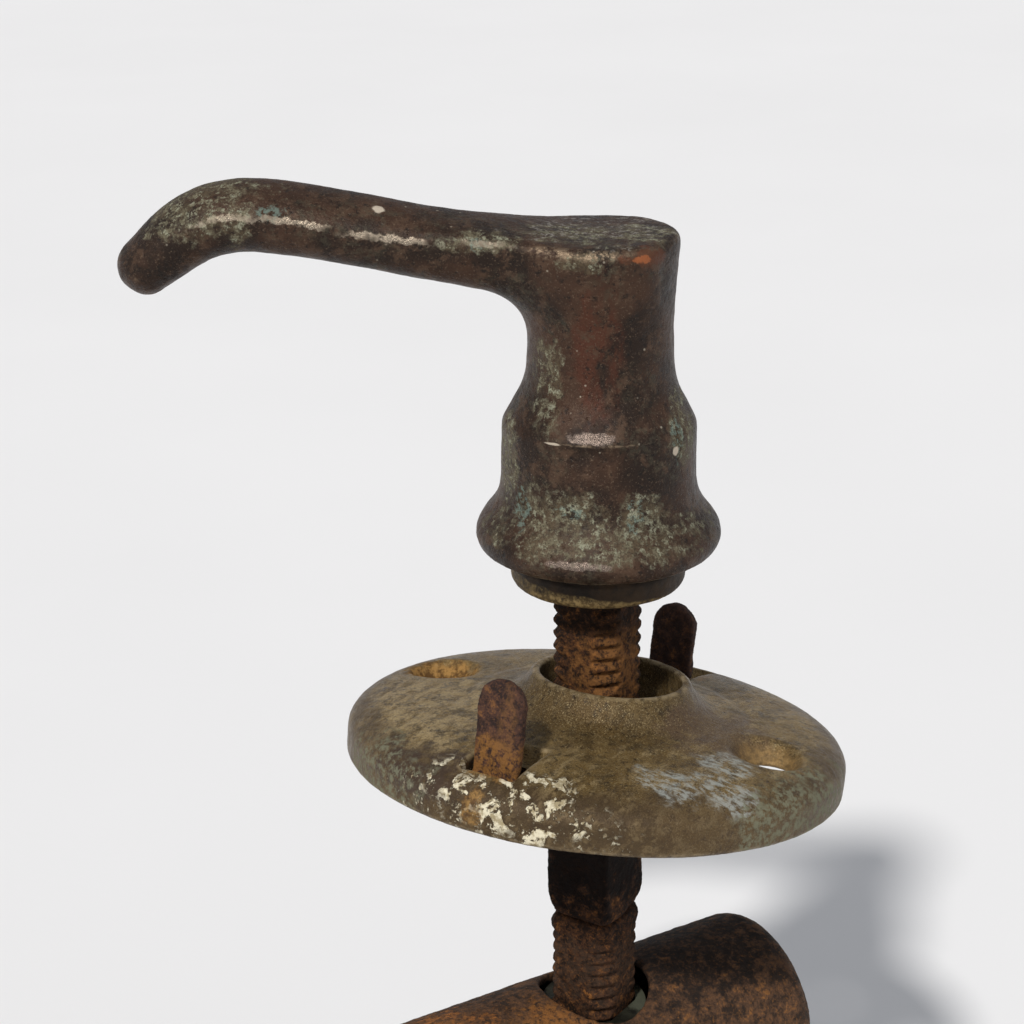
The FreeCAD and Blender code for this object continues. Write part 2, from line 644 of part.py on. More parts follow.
MAKERS = (
    make_latch_tube, make_faceplate, make_bolt_guide, make_latch_bolt, make_bolt_tail, make_bolt_tail_pin,
    make_tail_nut, make_retractor, make_spring_seat, make_bolt_spring, make_spindle_hub, make_spindle_upper,
    make_spindle_lower, make_spindle_pin, make_rose, make_yoke_strap, make_lever_collar, make_lever_handle,
    make_lever_set_screw)

for make in MAKERS:
    make()
doc.recompute()

for thing in doc.Objects:
    if "Invalid" in thing.State or "Error" in thing.State:
        raise RuntimeError("%s failed: %s" % (thing.Name, thing.State))
for solid in NODES:
    if solid.Shape.isNull() or not solid.Shape.isValid() or not solid.Shape.Solids:
        raise RuntimeError("%s has no valid solid" % solid.Label)

os.makedirs("parts", exist_ok=True)
for solid in NODES:
    solid.Shape.exportStep("parts/%s.step" % solid.Label)
    print("%-16s %9.1f mm3, %d solid(s)" % (solid.Label, solid.Shape.Volume, len(solid.Shape.Solids)))
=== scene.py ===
"""Door lever handle, loose rose and tubular latch: the looks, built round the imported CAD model."""

import json
import math

import bpy
import numpy as np
from mathutils import Matrix, Vector


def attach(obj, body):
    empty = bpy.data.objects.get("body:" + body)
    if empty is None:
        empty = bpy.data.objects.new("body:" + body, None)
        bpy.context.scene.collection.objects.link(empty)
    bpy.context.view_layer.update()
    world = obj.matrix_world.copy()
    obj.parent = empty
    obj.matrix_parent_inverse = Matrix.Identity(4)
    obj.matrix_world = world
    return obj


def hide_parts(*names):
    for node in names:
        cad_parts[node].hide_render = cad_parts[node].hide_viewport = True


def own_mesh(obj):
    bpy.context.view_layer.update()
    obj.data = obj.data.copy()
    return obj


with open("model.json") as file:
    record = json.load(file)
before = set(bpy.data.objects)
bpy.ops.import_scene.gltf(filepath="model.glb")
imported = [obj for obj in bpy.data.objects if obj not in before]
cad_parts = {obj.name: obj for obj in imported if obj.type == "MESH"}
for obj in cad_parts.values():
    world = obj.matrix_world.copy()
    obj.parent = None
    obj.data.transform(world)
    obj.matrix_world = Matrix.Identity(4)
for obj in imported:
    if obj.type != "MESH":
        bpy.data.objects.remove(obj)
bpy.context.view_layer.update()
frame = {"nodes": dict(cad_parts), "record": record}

MM = 0.001                      # shapes below are in millimetres, Blender is in metres
LEVER_AZIMUTH = -34.45          # degrees, the direction of the lever's arm
BAR_TURN = 23.5                 # degrees, the square spindle about its own axis

# the loose rose: where its back face's centre is, and its own axes in the row frame
ROSE_BASE = (0.32, 0.11, 38.68)
ROSE_U = (0.875996, 0.456628, 0.155312)
ROSE_V = (-0.460369, 0.887631, -0.013106)
ROSE_N = (-0.143844, -0.060020, 0.987779)
STRAP_SHIFT = (2.1, -0.1, 0.0)  # the strap's centre, in the rose's axes
SCREW_HOLE = 2.3                # the radius of the wood screws' holes, in the rose and in the faceplate


# ---------------------------------------------------------------- shapes as distance fields

def soft_min(a, b, k):
    """Union of two fields, with a fillet of about k between them."""
    near = np.clip(k - np.abs(a - b), 0, None) / k
    return np.minimum(a, b) - near * near * k / 4


def soft_max(a, b, k):
    """Overlap of two fields, with its edges rounded by about k."""
    return -soft_min(-a, -b, k)


def round_corner(a, b, bend):
    """Overlap of two fields that are already moved in by bend, with a true round corner of that radius."""
    return np.hypot(np.maximum(a, 0), np.maximum(b, 0)) + np.minimum(np.maximum(a, b), 0) - bend


def screw_hole(reach, over, slope, length):
    """A hole for a wood screw that opens out where over is above 0. length is that of (1, slope)."""
    straight = reach - SCREW_HOLE
    return np.minimum(straight, (straight - over * slope) / length)


def spline(points, steps=8):
    """A smooth open curve through points of any dimension."""
    p = np.array(points, float)
    p = np.vstack([2 * p[0] - p[1], p, 2 * p[-1] - p[-2]])
    out = []
    for a, b, c, d in zip(p, p[1:], p[2:], p[3:]):
        for t in np.arange(steps) / steps:
            out.append(0.5 * (2 * b + (c - a) * t + (2 * a - 5 * b + 4 * c - d) * t * t
                              + (3 * b - a - 3 * c + d) * t ** 3))
    out.append(p[-2])
    return np.array(out)


def outline_distance(corners):
    """Signed distance to a closed outline in a plane, negative inside."""
    corners = np.array(corners, float)

    def distance(x, y):
        best = np.full(x.shape, 1e9)
        inside = np.zeros(x.shape, bool)
        for (ax, ay), (bx, by) in zip(corners, np.roll(corners, -1, 0)):
            dx, dy = bx - ax, by - ay
            t = np.clip(((x - ax) * dx + (y - ay) * dy) / (dx * dx + dy * dy + 1e-12), 0, 1)
            best = np.minimum(best, (x - ax - t * dx) ** 2 + (y - ay - t * dy) ** 2)
            inside ^= ((ay > y) != (by > y)) & (x < ax + (y - ay) * dx / (dy if dy else 1e-9))
        return np.where(inside, -1, 1) * np.sqrt(best)
    return distance


class Table:
    """A function of two numbers, worked out on a grid once and read back between its points."""

    def __init__(self, function, low, high, step):
        self.low, self.step = low, step
        axes = [np.arange(a, b + step, step) for a, b in zip(low, high)]
        self.values = function(*np.meshgrid(*axes, indexing="ij"))

    def __call__(self, x, y):
        rows, cols = self.values.shape
        fx = np.clip((x - self.low[0]) / self.step, 0, rows - 1.001)
        fy = np.clip((y - self.low[1]) / self.step, 0, cols - 1.001)
        i, j = fx.astype(int), fy.astype(int)
        fx, fy = fx - i, fy - j
        v = self.values
        return ((v[i, j] * (1 - fx) + v[i + 1, j] * fx) * (1 - fy)
                + (v[i, j + 1] * (1 - fx) + v[i + 1, j + 1] * fx) * fy)


def averages(verts, faces):
    """The mean of each vertex's neighbours."""
    total = np.zeros_like(verts)
    count = np.zeros(len(verts))
    for k in range(faces.shape[1]):
        a, b = faces[:, k], faces[:, (k + 1) % faces.shape[1]]
        for here, there in ((a, b), (b, a)):
            count += np.bincount(here, minlength=len(verts))
            for axis in range(3):
                total[:, axis] += np.bincount(here, verts[there, axis], len(verts))
    return total / np.maximum(count, 1)[:, None]


def slope_of(field, points, reach):
    """The field and its gradient at points."""
    slope = np.zeros_like(points)
    for axis in range(3):
        ahead, behind = points.copy(), points.copy()
        ahead[:, axis] += reach
        behind[:, axis] -= reach
        slope[:, axis] = (field(*ahead.T) - field(*behind.T)) / (2 * reach)
    return field(*points.T), slope


def crossings(values):
    """Surface nets: a vertex in each grid cell that the surface crosses, a quad round each crossed edge."""
    strides = np.array([values.shape[1] * values.shape[2], values.shape[2], 1])
    ids, points, quads = [], [], []
    for axis in range(3):
        near, far = [slice(None)] * 3, [slice(None)] * 3
        near[axis], far[axis] = slice(0, -1), slice(1, None)
        a, b = values[tuple(near)], values[tuple(far)]
        where = np.argwhere((a < 0) != (b < 0))
        va, vb = a[tuple(where.T)], b[tuple(where.T)]
        place = where.astype(float)
        place[:, axis] += va / (va - vb)
        ring = []
        for du, dv in ((0, 0), (-1, 0), (-1, -1), (0, -1)):
            cell = where.copy()
            cell[:, (axis + 1) % 3] += du
            cell[:, (axis + 2) % 3] += dv
            ring.append(cell @ strides)
            ids.append(ring[-1])
            points.append(place)
        ring = np.stack(ring, 1)
        ring[va >= 0] = ring[va >= 0][:, ::-1]
        quads.append(ring)
    ids, points = np.concatenate(ids), np.concatenate(points)
    used, back = np.unique(ids, return_inverse=True)
    back = back.ravel()
    verts = np.stack([np.bincount(back, points[:, k]) for k in range(3)], 1) / np.bincount(back)[:, None]
    return verts, np.searchsorted(used, np.concatenate(quads))


def solid_from(name, field, low, high, step, matrix=None):
    """A quad mesh of the surface where field(x, y, z) is zero, in mm, then laid in the row frame by matrix.
    Each round of smoothing is followed by a pull back to the surface."""
    axes = [np.arange(a - 2 * step, b + 3 * step, step) for a, b in zip(low, high)]
    values = field(*np.meshgrid(*axes, indexing="ij"))
    verts, faces = crossings(values)
    verts = verts * step + np.array([axis[0] for axis in axes])
    for share in (0.5, 0.5, 0.35):
        verts += (averages(verts, faces) - verts) * share
        value, slope = slope_of(field, verts, step * 0.2)
        move = value / np.maximum((slope ** 2).sum(1), 0.2)
        verts -= slope * np.clip(move, -step, step)[:, None]
    return mesh_object(name, verts, faces, matrix)


def mesh_object(name, verts, faces, matrix=None):
    """A smooth-shaded object from quads. The materials read two marks on it: its ridges and hollows, and
    each point's own place in the piece's axes, in mm."""
    own = verts.astype(np.float32)
    if matrix is not None:
        turn = np.array(matrix)
        verts = verts @ turn[:3, :3].T + turn[:3, 3]
    faces = np.asarray(faces)
    mesh = bpy.data.meshes.new(name)
    mesh.vertices.add(len(verts))
    mesh.vertices.foreach_set("co", (verts * MM).ravel())
    mesh.loops.add(faces.size)
    mesh.loops.foreach_set("vertex_index", faces.ravel())
    mesh.polygons.add(len(faces))
    mesh.polygons.foreach_set("loop_start", np.arange(0, faces.size, 4))
    mesh.polygons.foreach_set("loop_total", np.full(len(faces), 4))
    mesh.polygons.foreach_set("use_smooth", np.ones(len(faces), bool))
    mesh.update(calc_edges=True)
    mesh.validate()
    normals = np.zeros(len(verts) * 3)
    mesh.vertices.foreach_get("normal", normals)
    broad = verts
    for _ in range(5):
        broad = averages(broad, faces)
    bulge = -((broad - verts) * normals.reshape(-1, 3)).sum(1)
    bulge /= np.percentile(np.abs(bulge), 99)
    ridge = mesh.attributes.new("ridge", "FLOAT", "POINT")
    ridge.data.foreach_set("value", np.clip(0.5 + bulge / 2, 0, 1).astype(np.float32))
    place = mesh.attributes.new("own_place", "FLOAT_VECTOR", "POINT")
    place.data.foreach_set("vector", own.ravel())
    made = bpy.data.objects.new(name, mesh)
    bpy.context.scene.collection.objects.link(made)
    return made


def roughen(piece, *layers, subdivide=1):
    """Subdivide, then push the surface in and out by procedural clouds of (size, height) in mm."""
    if subdivide:
        rounder = piece.modifiers.new("rounder", "SUBSURF")
        rounder.levels = rounder.render_levels = subdivide
    for number, (size, height) in enumerate(layers):
        clouds = bpy.data.textures.new("%s_clouds_%d" % (piece.name, number), "CLOUDS")
        clouds.noise_scale = size * MM
        clouds.noise_depth = 2
        push = piece.modifiers.new("relief_%d" % number, "DISPLACE")
        push.texture = clouds
        push.texture_coords = "LOCAL"
        push.strength = height * MM
        push.mid_level = 0.5
    return piece


# ---------------------------------------------------------------- the lever

# the arm's middle line and section: reach from the axis, level, half width, crown over the ridges, depth
ARM = (
    (-6.0, 98.1, 5.4, 0.1, 5.2), (2.0, 98.1, 5.6, 0.2, 5.4), (7.0, 98.2, 5.9, 0.5, 5.6),
    (11.3, 98.4, 5.9, 1.0, 5.4), (15.4, 98.4, 5.6, 1.6, 4.7), (19.4, 98.55, 5.4, 2.1, 4.1),
    (23.5, 99.05, 5.3, 2.4, 3.85), (27.6, 99.8, 5.3, 2.4, 3.9), (31.6, 100.5, 5.3, 2.4, 4.0),
    (35.6, 100.85, 5.3, 2.4, 4.0), (38.3, 100.6, 5.25, 2.4, 4.0), (40.7, 99.8, 5.2, 2.4, 3.9),
    (42.9, 98.4, 5.1, 2.4, 3.7), (44.8, 96.8, 4.9, 2.3, 3.4), (46.6, 95.2, 4.6, 2.1, 3.0))
ARM_LINE = spline(ARM)
RIDGE = 0.8                     # the ridges' height over the middle line
TIP_LENGTH = 3.0                # from the end of the middle line to the tip
SHOULDER = 79.0                 # the level of the hub's front shoulder
LEDGE, LEDGE_SPREAD = 0.4, 38   # how far the hub steps in under it, and how far round, in degrees
SOCKET, SOCKET_TOP = 7.15, 70.1     # the collar's seat in the skirt: radius and top
BAR_HOLE, BAR_HOLE_TOP = 4.85, 86   # the spindle's hole above it
SET_SCREW_AZIMUTH = BAR_TURN - 180 - LEVER_AZIMUTH
SET_SCREW_LEVEL, SET_SCREW_HOLE = 74.5, 2.1

HUB_OUTLINE = np.vstack([
    [(0, 65.0), (12.2, 65.0)],
    spline([(12.6, 65.3), (13.0, 66.3), (12.9, 67.2), (12.3, 68.3), (11.3, 69.6), (10.6, 71.0),
            (10.3, 72.6)]),
    [(10.2, 78.6), (10.05, 79.1)],
    spline([(9.2, 80.7), (8.3, 82.4), (7.8, 84.2), (7.6, 86.5), (7.55, 90.0), (7.85, 94.8), (8.1, 98.0)]),
    [(8.1, 104.0), (0, 104.0)]])


def nearest_on_arm(what):
    """A table over reach and level of one fact about the nearest place on the arm's middle line."""
    line = ARM_LINE[:, :2]
    along = np.gradient(line, axis=0)
    along /= np.linalg.norm(along, axis=1)[:, None]
    spacing = np.append(np.linalg.norm(np.diff(line, axis=0), axis=1), 1.0)

    def facts(s, z):
        nearest = np.zeros(s.shape, int)
        best = np.full(s.shape, 1e9)
        for index, (ls, lz) in enumerate(line):
            gap = (s - ls) ** 2 + (z - lz) ** 2
            closer = gap < best
            best[closer] = gap[closer]
            nearest[closer] = index
        ds, dz = s - line[nearest, 0], z - line[nearest, 1]
        forward = ds * along[nearest, 0] + dz * along[nearest, 1]
        last = len(line) - 1
        return {
            "place": np.clip(nearest + forward / spacing[nearest], 0, last),
            "height": dz * along[nearest, 0] - ds * along[nearest, 1],
            "past": np.where(nearest == last, np.maximum(forward, 0), 0.0),
        }[what]
    return Table(facts, (-18, 60), (56, 110), 0.25)


ARM_PLACE, ARM_HEIGHT, ARM_PAST = (nearest_on_arm(what) for what in ("place", "height", "past"))
HUB_TABLE = Table(outline_distance(HUB_OUTLINE), (0, 60), (62, 110), 0.12)


def lever_field(s, t, z):
    """s along the arm, t across it, z up the spindle's axis."""
    place, height, past = ARM_PLACE(s, z), ARM_HEIGHT(s, z), ARM_PAST(s, z)
    wide, crown, deep = (np.interp(place, np.arange(len(ARM_LINE)), ARM_LINE[:, k]) for k in (2, 3, 4))
    shrink = np.sqrt(np.clip(1 - (past / TIP_LENGTH) ** 2, 0.01, 1))
    wide, crown, deep, ridge = wide * shrink, crown * shrink, deep * shrink, RIDGE * shrink
    over = ((height - ridge - crown * (1 - (t / wide) ** 2))
            / np.sqrt(1 + (2 * crown * t / wide ** 2) ** 2))
    side = (np.abs(t) - wide + 0.18 * np.maximum(ridge - height, 0)) / 1.016
    under = -(height + deep) + 0.8 * (t / 4.6) ** 2
    arm = soft_max(soft_max(side, under, 2.2), -s - 3, 2)
    arm = np.maximum(arm, past - TIP_LENGTH)
    radius = np.hypot(s, t)
    front = np.degrees(np.arctan2(s, t))
    ledge = (LEDGE * np.exp(-(front / LEDGE_SPREAD) ** 4)
             * np.clip((SHOULDER - z) / 0.5, 0, 1) * np.clip((z - 73) / 5, 0, 1))
    body = soft_max(soft_min(arm, HUB_TABLE(radius, z) + ledge, 5.2), over, 1.3)
    socket = soft_min(np.maximum(radius - SOCKET, z - SOCKET_TOP),
                      np.maximum(radius - BAR_HOLE, z - BAR_HOLE_TOP), 0.3)
    turn = math.radians(SET_SCREW_AZIMUTH)
    along, aside = s * math.cos(turn) + t * math.sin(turn), t * math.cos(turn) - s * math.sin(turn)
    set_screw = np.maximum(np.hypot(aside, z - SET_SCREW_LEVEL) - SET_SCREW_HOLE, -along)
    return soft_max(soft_max(body, -socket, 0.3), -set_screw, 0.4)


def make_lever():
    """The lever, with a mark along the ridge of the arm for a bright line, partly rubbed metal and partly a
    painted highlight.
    """
    turn = Matrix.Rotation(math.radians(LEVER_AZIMUTH), 4, "Z")
    piece = solid_from("lever", lever_field, (-13.6, -13.6, 64.5), (50.5, 13.6, 105), 0.4, turn)
    own = np.zeros(len(piece.data.vertices) * 3)
    piece.data.attributes["own_place"].data.foreach_get("vector", own)
    s, t, z = own.reshape(-1, 3).T
    wide = np.interp(ARM_PLACE(s, z), np.arange(len(ARM_LINE)), ARM_LINE[:, 2])
    gap = np.hypot(np.abs(t) - wide + 0.2, ARM_HEIGHT(s, z) - RIDGE + 0.4)
    line = np.exp(-(gap / 0.5) ** 2) * (t > 0) * np.clip((s - 6) / 4, 0, 1) * np.clip((45 - s) / 7, 0, 1)
    # the mark where a thin line is painted bright along the arm's ridge: a painted highlight on rubbed metal
    mark = piece.data.attributes.new("arm_ridge_highlight", "FLOAT", "POINT")
    mark.data.foreach_set("value", line.astype(np.float32))
    return roughen(piece, (7.0, 0.22), (1.6, 0.07), (0.45, 0.035))


def turned_field(outline):
    """A turned part about Z from its outline of (radius, level)."""
    corners = np.array(outline)
    low, high = corners.min(0) - 2, corners.max(0) + 2
    table = Table(outline_distance(outline), (max(low[0], 0), low[1]), (high[0], high[1]), 0.06)
    return lambda x, y, z: table(np.hypot(x, y), z)


def make_collar():
    """The stepped ring under the skirt, with its neck up in the socket."""
    field = turned_field([
        (4.85, 60.87), (8.55, 60.87), (9.1, 61.1), (9.33, 61.6), (9.35, 63.4), (9.1, 63.75), (9.1, 65.0),
        (7.1, 65.0), (7.1, 70.0), (4.85, 70.0)])
    piece = solid_from("collar", field, (-9.4, -9.4, 60.8), (9.4, 9.4, 70.2), 0.3)
    return roughen(piece, (3.0, 0.10), (0.5, 0.04))


# ---------------------------------------------------------------- the rose and its strap

# outlines of (radius, level) in the rose's axes
DOME_EDGE = 27.41
DOME = [(r, 2.75 + 4.211 * (1 - (r / DOME_EDGE) ** 4.729) ** 0.437)
        for r in DOME_EDGE * np.sin(np.linspace(math.pi / 2, 0, 40))]
ROSE_TABLE = Table(outline_distance([(0, 0), (26.9, 0), (27.35, 0.45), (DOME_EDGE, 2.3)] + DOME),
                   (0, -2), (42, 14), 0.08)
BOSS_TABLE = Table(outline_distance(np.vstack([
    [(0, 5.0), (14.6, 5.0)],
    spline([(14.2, 6.6), (12.0, 7.15), (10.4, 8.2), (9.3, 9.5), (8.75, 10.45)]),
    [(8.4, 10.7), (0, 10.7)]])), (0, -2), (42, 14), 0.08)
HOLLOW_TABLE = Table(outline_distance([(0, -3), (25, -3), (25, 2.8), (23.6, 4.0), (0, 4.0)]),
                     (0, -2), (42, 14), 0.08)
BOSS_SHIFT = 1.0                # the boss is this far off the rose's centre
BORE = 7.8
WINDOW_IN, WINDOW_OUT, WINDOW_HALF = 17.0, 24.4, 3.1
SCREW_REACH, SINK_START = 20.5, 4.4


def rose_field(u, v, w):
    """A hollow dome with a bored boss, two windows for the strap and two screw holes."""
    r = np.hypot(u, v)
    centre = np.hypot(u, v - BOSS_SHIFT)
    shell = soft_min(ROSE_TABLE(r, w), BOSS_TABLE(centre, w), 1.6)
    shell = soft_max(shell, -HOLLOW_TABLE(r, w), 0.4)
    shell = soft_max(shell, BORE - centre, 0.4)
    across = np.abs(np.abs(u) - (WINDOW_IN + WINDOW_OUT) / 2) - (WINDOW_OUT - WINDOW_IN) / 2
    window = soft_max(across, np.abs(v) - WINDOW_HALF, 0.5)
    shell = soft_max(shell, -window, 0.35)
    sink = screw_hole(np.hypot(u, np.abs(v) - SCREW_REACH), w - SINK_START, 0.95, 1.38)
    return soft_max(shell, -sink, 0.3)


def in_rose_axes(shift=(0, 0, 0)):
    """The matrix, in mm, that lays a piece made in the rose's axes, moved by shift, in the row frame."""
    axes = Matrix([ROSE_U, ROSE_V, ROSE_N]).transposed()
    return Matrix.Translation(Vector(ROSE_BASE) + axes @ Vector(shift)) @ axes.to_4x4()


def make_rose():
    piece = solid_from("rose_shell", rose_field, (-27.5, -27.5, -0.1), (27.5, 27.5, 10.8), 0.33,
                       in_rose_axes())
    return roughen(piece, (9.0, 0.16), (1.2, 0.05), (0.4, 0.03))


STRAP_REACH, STRAP_HALF, TAB_TOP = 19.9, 2.65, 14.9
STRAP_LEVEL, SHEET_HALF = 1.0, 0.7
SLOT_HALF, SLOT_IN, SLOT_OUT = 2.4, 6.4, 9.5    # the long hole's straight part, and its ring's two radii


def strap_field(u, v, w):
    """A flat sheet strap round the spindle, with a round-ended tab standing at each end."""
    level = np.abs(w - STRAP_LEVEL) - SHEET_HALF
    flat = soft_max(soft_max(np.abs(u) - STRAP_REACH - SHEET_HALF, np.abs(v) - STRAP_HALF, 0.5), level, 0.5)
    slot = np.hypot(np.maximum(np.abs(u) - SLOT_HALF, 0), v)
    ring = soft_max(slot - SLOT_OUT, level, 0.5)
    end = np.hypot(v, np.maximum(w - TAB_TOP + STRAP_HALF, 0)) - STRAP_HALF
    tab = soft_max(soft_max(np.abs(np.abs(u) - STRAP_REACH) - SHEET_HALF, end, 0.5), 0.3 - w, 0.9)
    whole = soft_min(soft_min(flat, ring, 1.0), tab, 1.0)
    return soft_max(whole, SLOT_IN - slot, 0.5)


def make_strap():
    piece = solid_from("strap", strap_field, (-20.9, -9.8, 0.1), (20.9, 9.8, 15.1), 0.25,
                       in_rose_axes(STRAP_SHIFT))
    return roughen(piece, (2.5, 0.28), (0.8, 0.16), (0.35, 0.08))


# ---------------------------------------------------------------- the spindle

PITCH = 1.5
FLAT = 3.97                     # from the axis to a flat
CREST, DEPTH = 4.75, 0.55       # the thread's crest, and how deep it is cut
PLAIN_CORNER = 5.42             # the corners where there is no thread
JOINT = 20.6                    # the level where the two halves meet
END_ROUND = 0.4


def bar_radius(angle, z):
    """The surface of a square bar whose corners carry a thread, plain between levels 19 and 36."""
    turn = angle - math.radians(BAR_TURN)
    flat = FLAT / np.maximum(np.abs(np.cos(turn)), np.abs(np.sin(turn)))
    phase = (z / PITCH - angle / (2 * math.pi)) % 1
    thread = CREST - DEPTH * np.clip(np.abs(2 * phase - 1) * 1.4 - 0.2, 0, 1)
    plain = np.interp(z, (16.0, 24.0, 35.6, 36.2), (CREST, PLAIN_CORNER, PLAIN_CORNER, CREST))
    share = np.clip((z - 17.5) / 1.5, 0, 1) * np.clip((36.4 - z) / 0.6, 0, 1)
    radius = soft_min(flat, thread * (1 - share) + plain * share, 0.12)
    for azimuth, level, depth, tall in ((-32, JOINT, 0.75, 1.0), (150, JOINT + 0.4, 0.5, 0.9),
                                        (60, JOINT - 0.2, 0.3, 0.5), (40, 27, 0.2, 1.5)):
        aside = (np.degrees(angle) - azimuth + 180) % 360 - 180
        radius = radius - depth * np.exp(-(aside / 24) ** 2 - ((z - level) / tall) ** 2)
    return radius


def make_bar(name, levels):
    """One half of the spindle from rings of vertices at levels, with rounded and closed ends."""
    count = 168
    angle, z = np.meshgrid(np.arange(count) * 2 * math.pi / count, levels)
    radius = bar_radius(angle, z)
    radius = np.vstack([radius[0] * 0.55, radius[0] - END_ROUND, radius[1:-1],
                        radius[-1] - END_ROUND, radius[-1] * 0.55])
    heights = np.concatenate([levels[[0, 0]], levels[1:-1], levels[[-1, -1]]])
    z = np.repeat(heights[:, None], count, 1)
    angle = np.repeat(angle[:1], len(heights), 0)
    rings = np.stack([radius * np.cos(angle), radius * np.sin(angle), z], -1).reshape(-1, 3)
    middle = np.array([[0, 0, heights[0]], [0, 0, heights[-1]]])
    verts = np.vstack([rings, middle])
    row = np.arange(count)
    after = (row + 1) % count
    faces = [np.stack([k * count + row, k * count + after, (k + 1) * count + after,
                       (k + 1) * count + row], 1) for k in range(len(heights) - 1)]
    top = (len(heights) - 1) * count
    pairs = np.arange(0, count, 2)
    for centre, start, way in ((len(rings), 0, -1), (len(rings) + 1, top, 1)):
        fan = np.stack([np.full(len(pairs), centre), start + pairs, start + (pairs + 1) % count,
                        start + (pairs + 2) % count], 1)
        faces.append(fan[:, ::way] if way < 0 else fan)
    piece = mesh_object(name, verts, np.vstack(faces))
    return roughen(piece, (2.2, 0.22), (0.8, 0.14), (0.3, 0.07), subdivide=0)


def make_spindles():
    fine = 0.125
    upper = np.concatenate([[JOINT + 0.02], np.arange(JOINT + 0.3, 35.5, 0.22), np.arange(35.5, 62, fine),
                            np.arange(62, 83.7, 0.7), [83.6, 83.95]])
    lower = np.concatenate([[-41.93], np.arange(-41.6, JOINT - 0.3, fine), [JOINT - 0.02]])
    return make_bar("spindle_top", np.unique(upper)), make_bar("spindle_base", np.unique(lower))


# ---------------------------------------------------------------- the latch

CASE_OUT, CASE_IN = (11.1, -25.1, 3.2), (9.9, -23.9, 2.4)   # radius, rear end and bend at the rear
CASE_FRONT, CROSS_HOLE = 58.5, 6.3
PLATE_LONG, PLATE_WIDE, PLATE_CORNER = 27, 12, 6.35         # half lengths, and the corners' radius
PLATE_MIDDLE, PLATE_HALF = 59.4, 0.9
PLATE_SCREW_REACH, PLATE_SINK_START = 20.65, 58.7
BOLT_RADIUS, BOLT_SIDE, BOLT_NOSE = 7, 5.5, 66.6
BOLT_MIDDLE, BOLT_HALF, BEVEL = 55.3, 11.3, 30              # along x, and the bevel in degrees
ROD_HOLE, ROD_HOLE_END, PIN_PLACE, PIN_HOLE = 2.5, 53, 48.5, 1.0


def case_field(x, y, z):
    """A tube with a closed round-edged rear end, and a hole across it for the spindle."""
    ring = np.hypot(y, z)
    outer, inner = (round_corner(rear + bend - x, ring - radius + bend, bend)
                    for radius, rear, bend in (CASE_OUT, CASE_IN))
    shell = np.maximum(np.maximum(outer, x - CASE_FRONT), -inner)
    return soft_max(shell, CROSS_HOLE - np.hypot(x, y), 0.5)


def make_case():
    piece = solid_from("latch_case", case_field, (-25.2, -11.2, -11.2), (CASE_FRONT, 11.2, 11.2), 0.45)
    return roughen(piece, (5.0, 0.20), (1.3, 0.14), (0.45, 0.08))


def faceplate_field(x, y, z):
    """A plate with round corners, the bolt's slot and two countersunk screw holes."""
    edge = round_corner(np.abs(y) - PLATE_LONG + PLATE_CORNER, np.abs(z) - PLATE_WIDE + PLATE_CORNER,
                        PLATE_CORNER)
    plate = soft_max(edge, np.abs(x - PLATE_MIDDLE) - PLATE_HALF, 0.5)
    slot = soft_max(np.hypot(y, z) - BOLT_RADIUS - 0.3, np.abs(y) - BOLT_SIDE - 0.3, 0.3)
    sink = screw_hole(np.hypot(np.abs(y) - PLATE_SCREW_REACH, z), x - PLATE_SINK_START, 1.19, 1.55)
    return soft_max(soft_max(plate, -slot, 0.3), -sink, 0.25)


def make_faceplate():
    piece = solid_from("latch_faceplate", faceplate_field, (58.4, -27.1, -12.1), (60.4, 27.1, 12.1), 0.3)
    return roughen(piece, (6.0, 0.08), (0.6, 0.03))


def bolt_field(x, y, z):
    """A round bar with two flat sides and a bevelled nose, bored for the rod and its cross pin."""
    bar = soft_max(np.hypot(y, z) - BOLT_RADIUS, np.abs(y) - BOLT_SIDE, 0.5)
    slant = math.radians(BEVEL)
    nose = (x - BOLT_NOSE) * math.cos(slant) - (z - BOLT_RADIUS / 2) * math.sin(slant)
    bar = soft_max(soft_max(bar, np.abs(x - BOLT_MIDDLE) - BOLT_HALF, 0.5), nose, 0.6)
    bar = np.maximum(bar, -np.maximum(np.hypot(y, z) - ROD_HOLE, x - ROD_HOLE_END))
    return np.maximum(bar, PIN_HOLE - np.hypot(x - PIN_PLACE, z))


def make_bolt():
    piece = solid_from("spring_bolt", bolt_field, (43.9, -5.6, -7.1), (66.7, 5.6, 7.1), 0.3)
    return roughen(piece, (6.0, 0.06), (0.6, 0.025))


# ---------------------------------------------------------------- the bolt's spring

SPRING_SEAT, SPRING_START, SPRING_LENGTH = 21.5, 22.5, 20.5     # along x, to the wire's middle
SPRING_RADIUS, WIRE_HALF = 4.2, 0.5
TURNS, END_TURNS, END_RISE = 7.6, 0.8, 0.9      # the closed turn at each end, and how far it climbs
TURN_STEPS, RING = 304, 12                      # steps along the wire, points round it


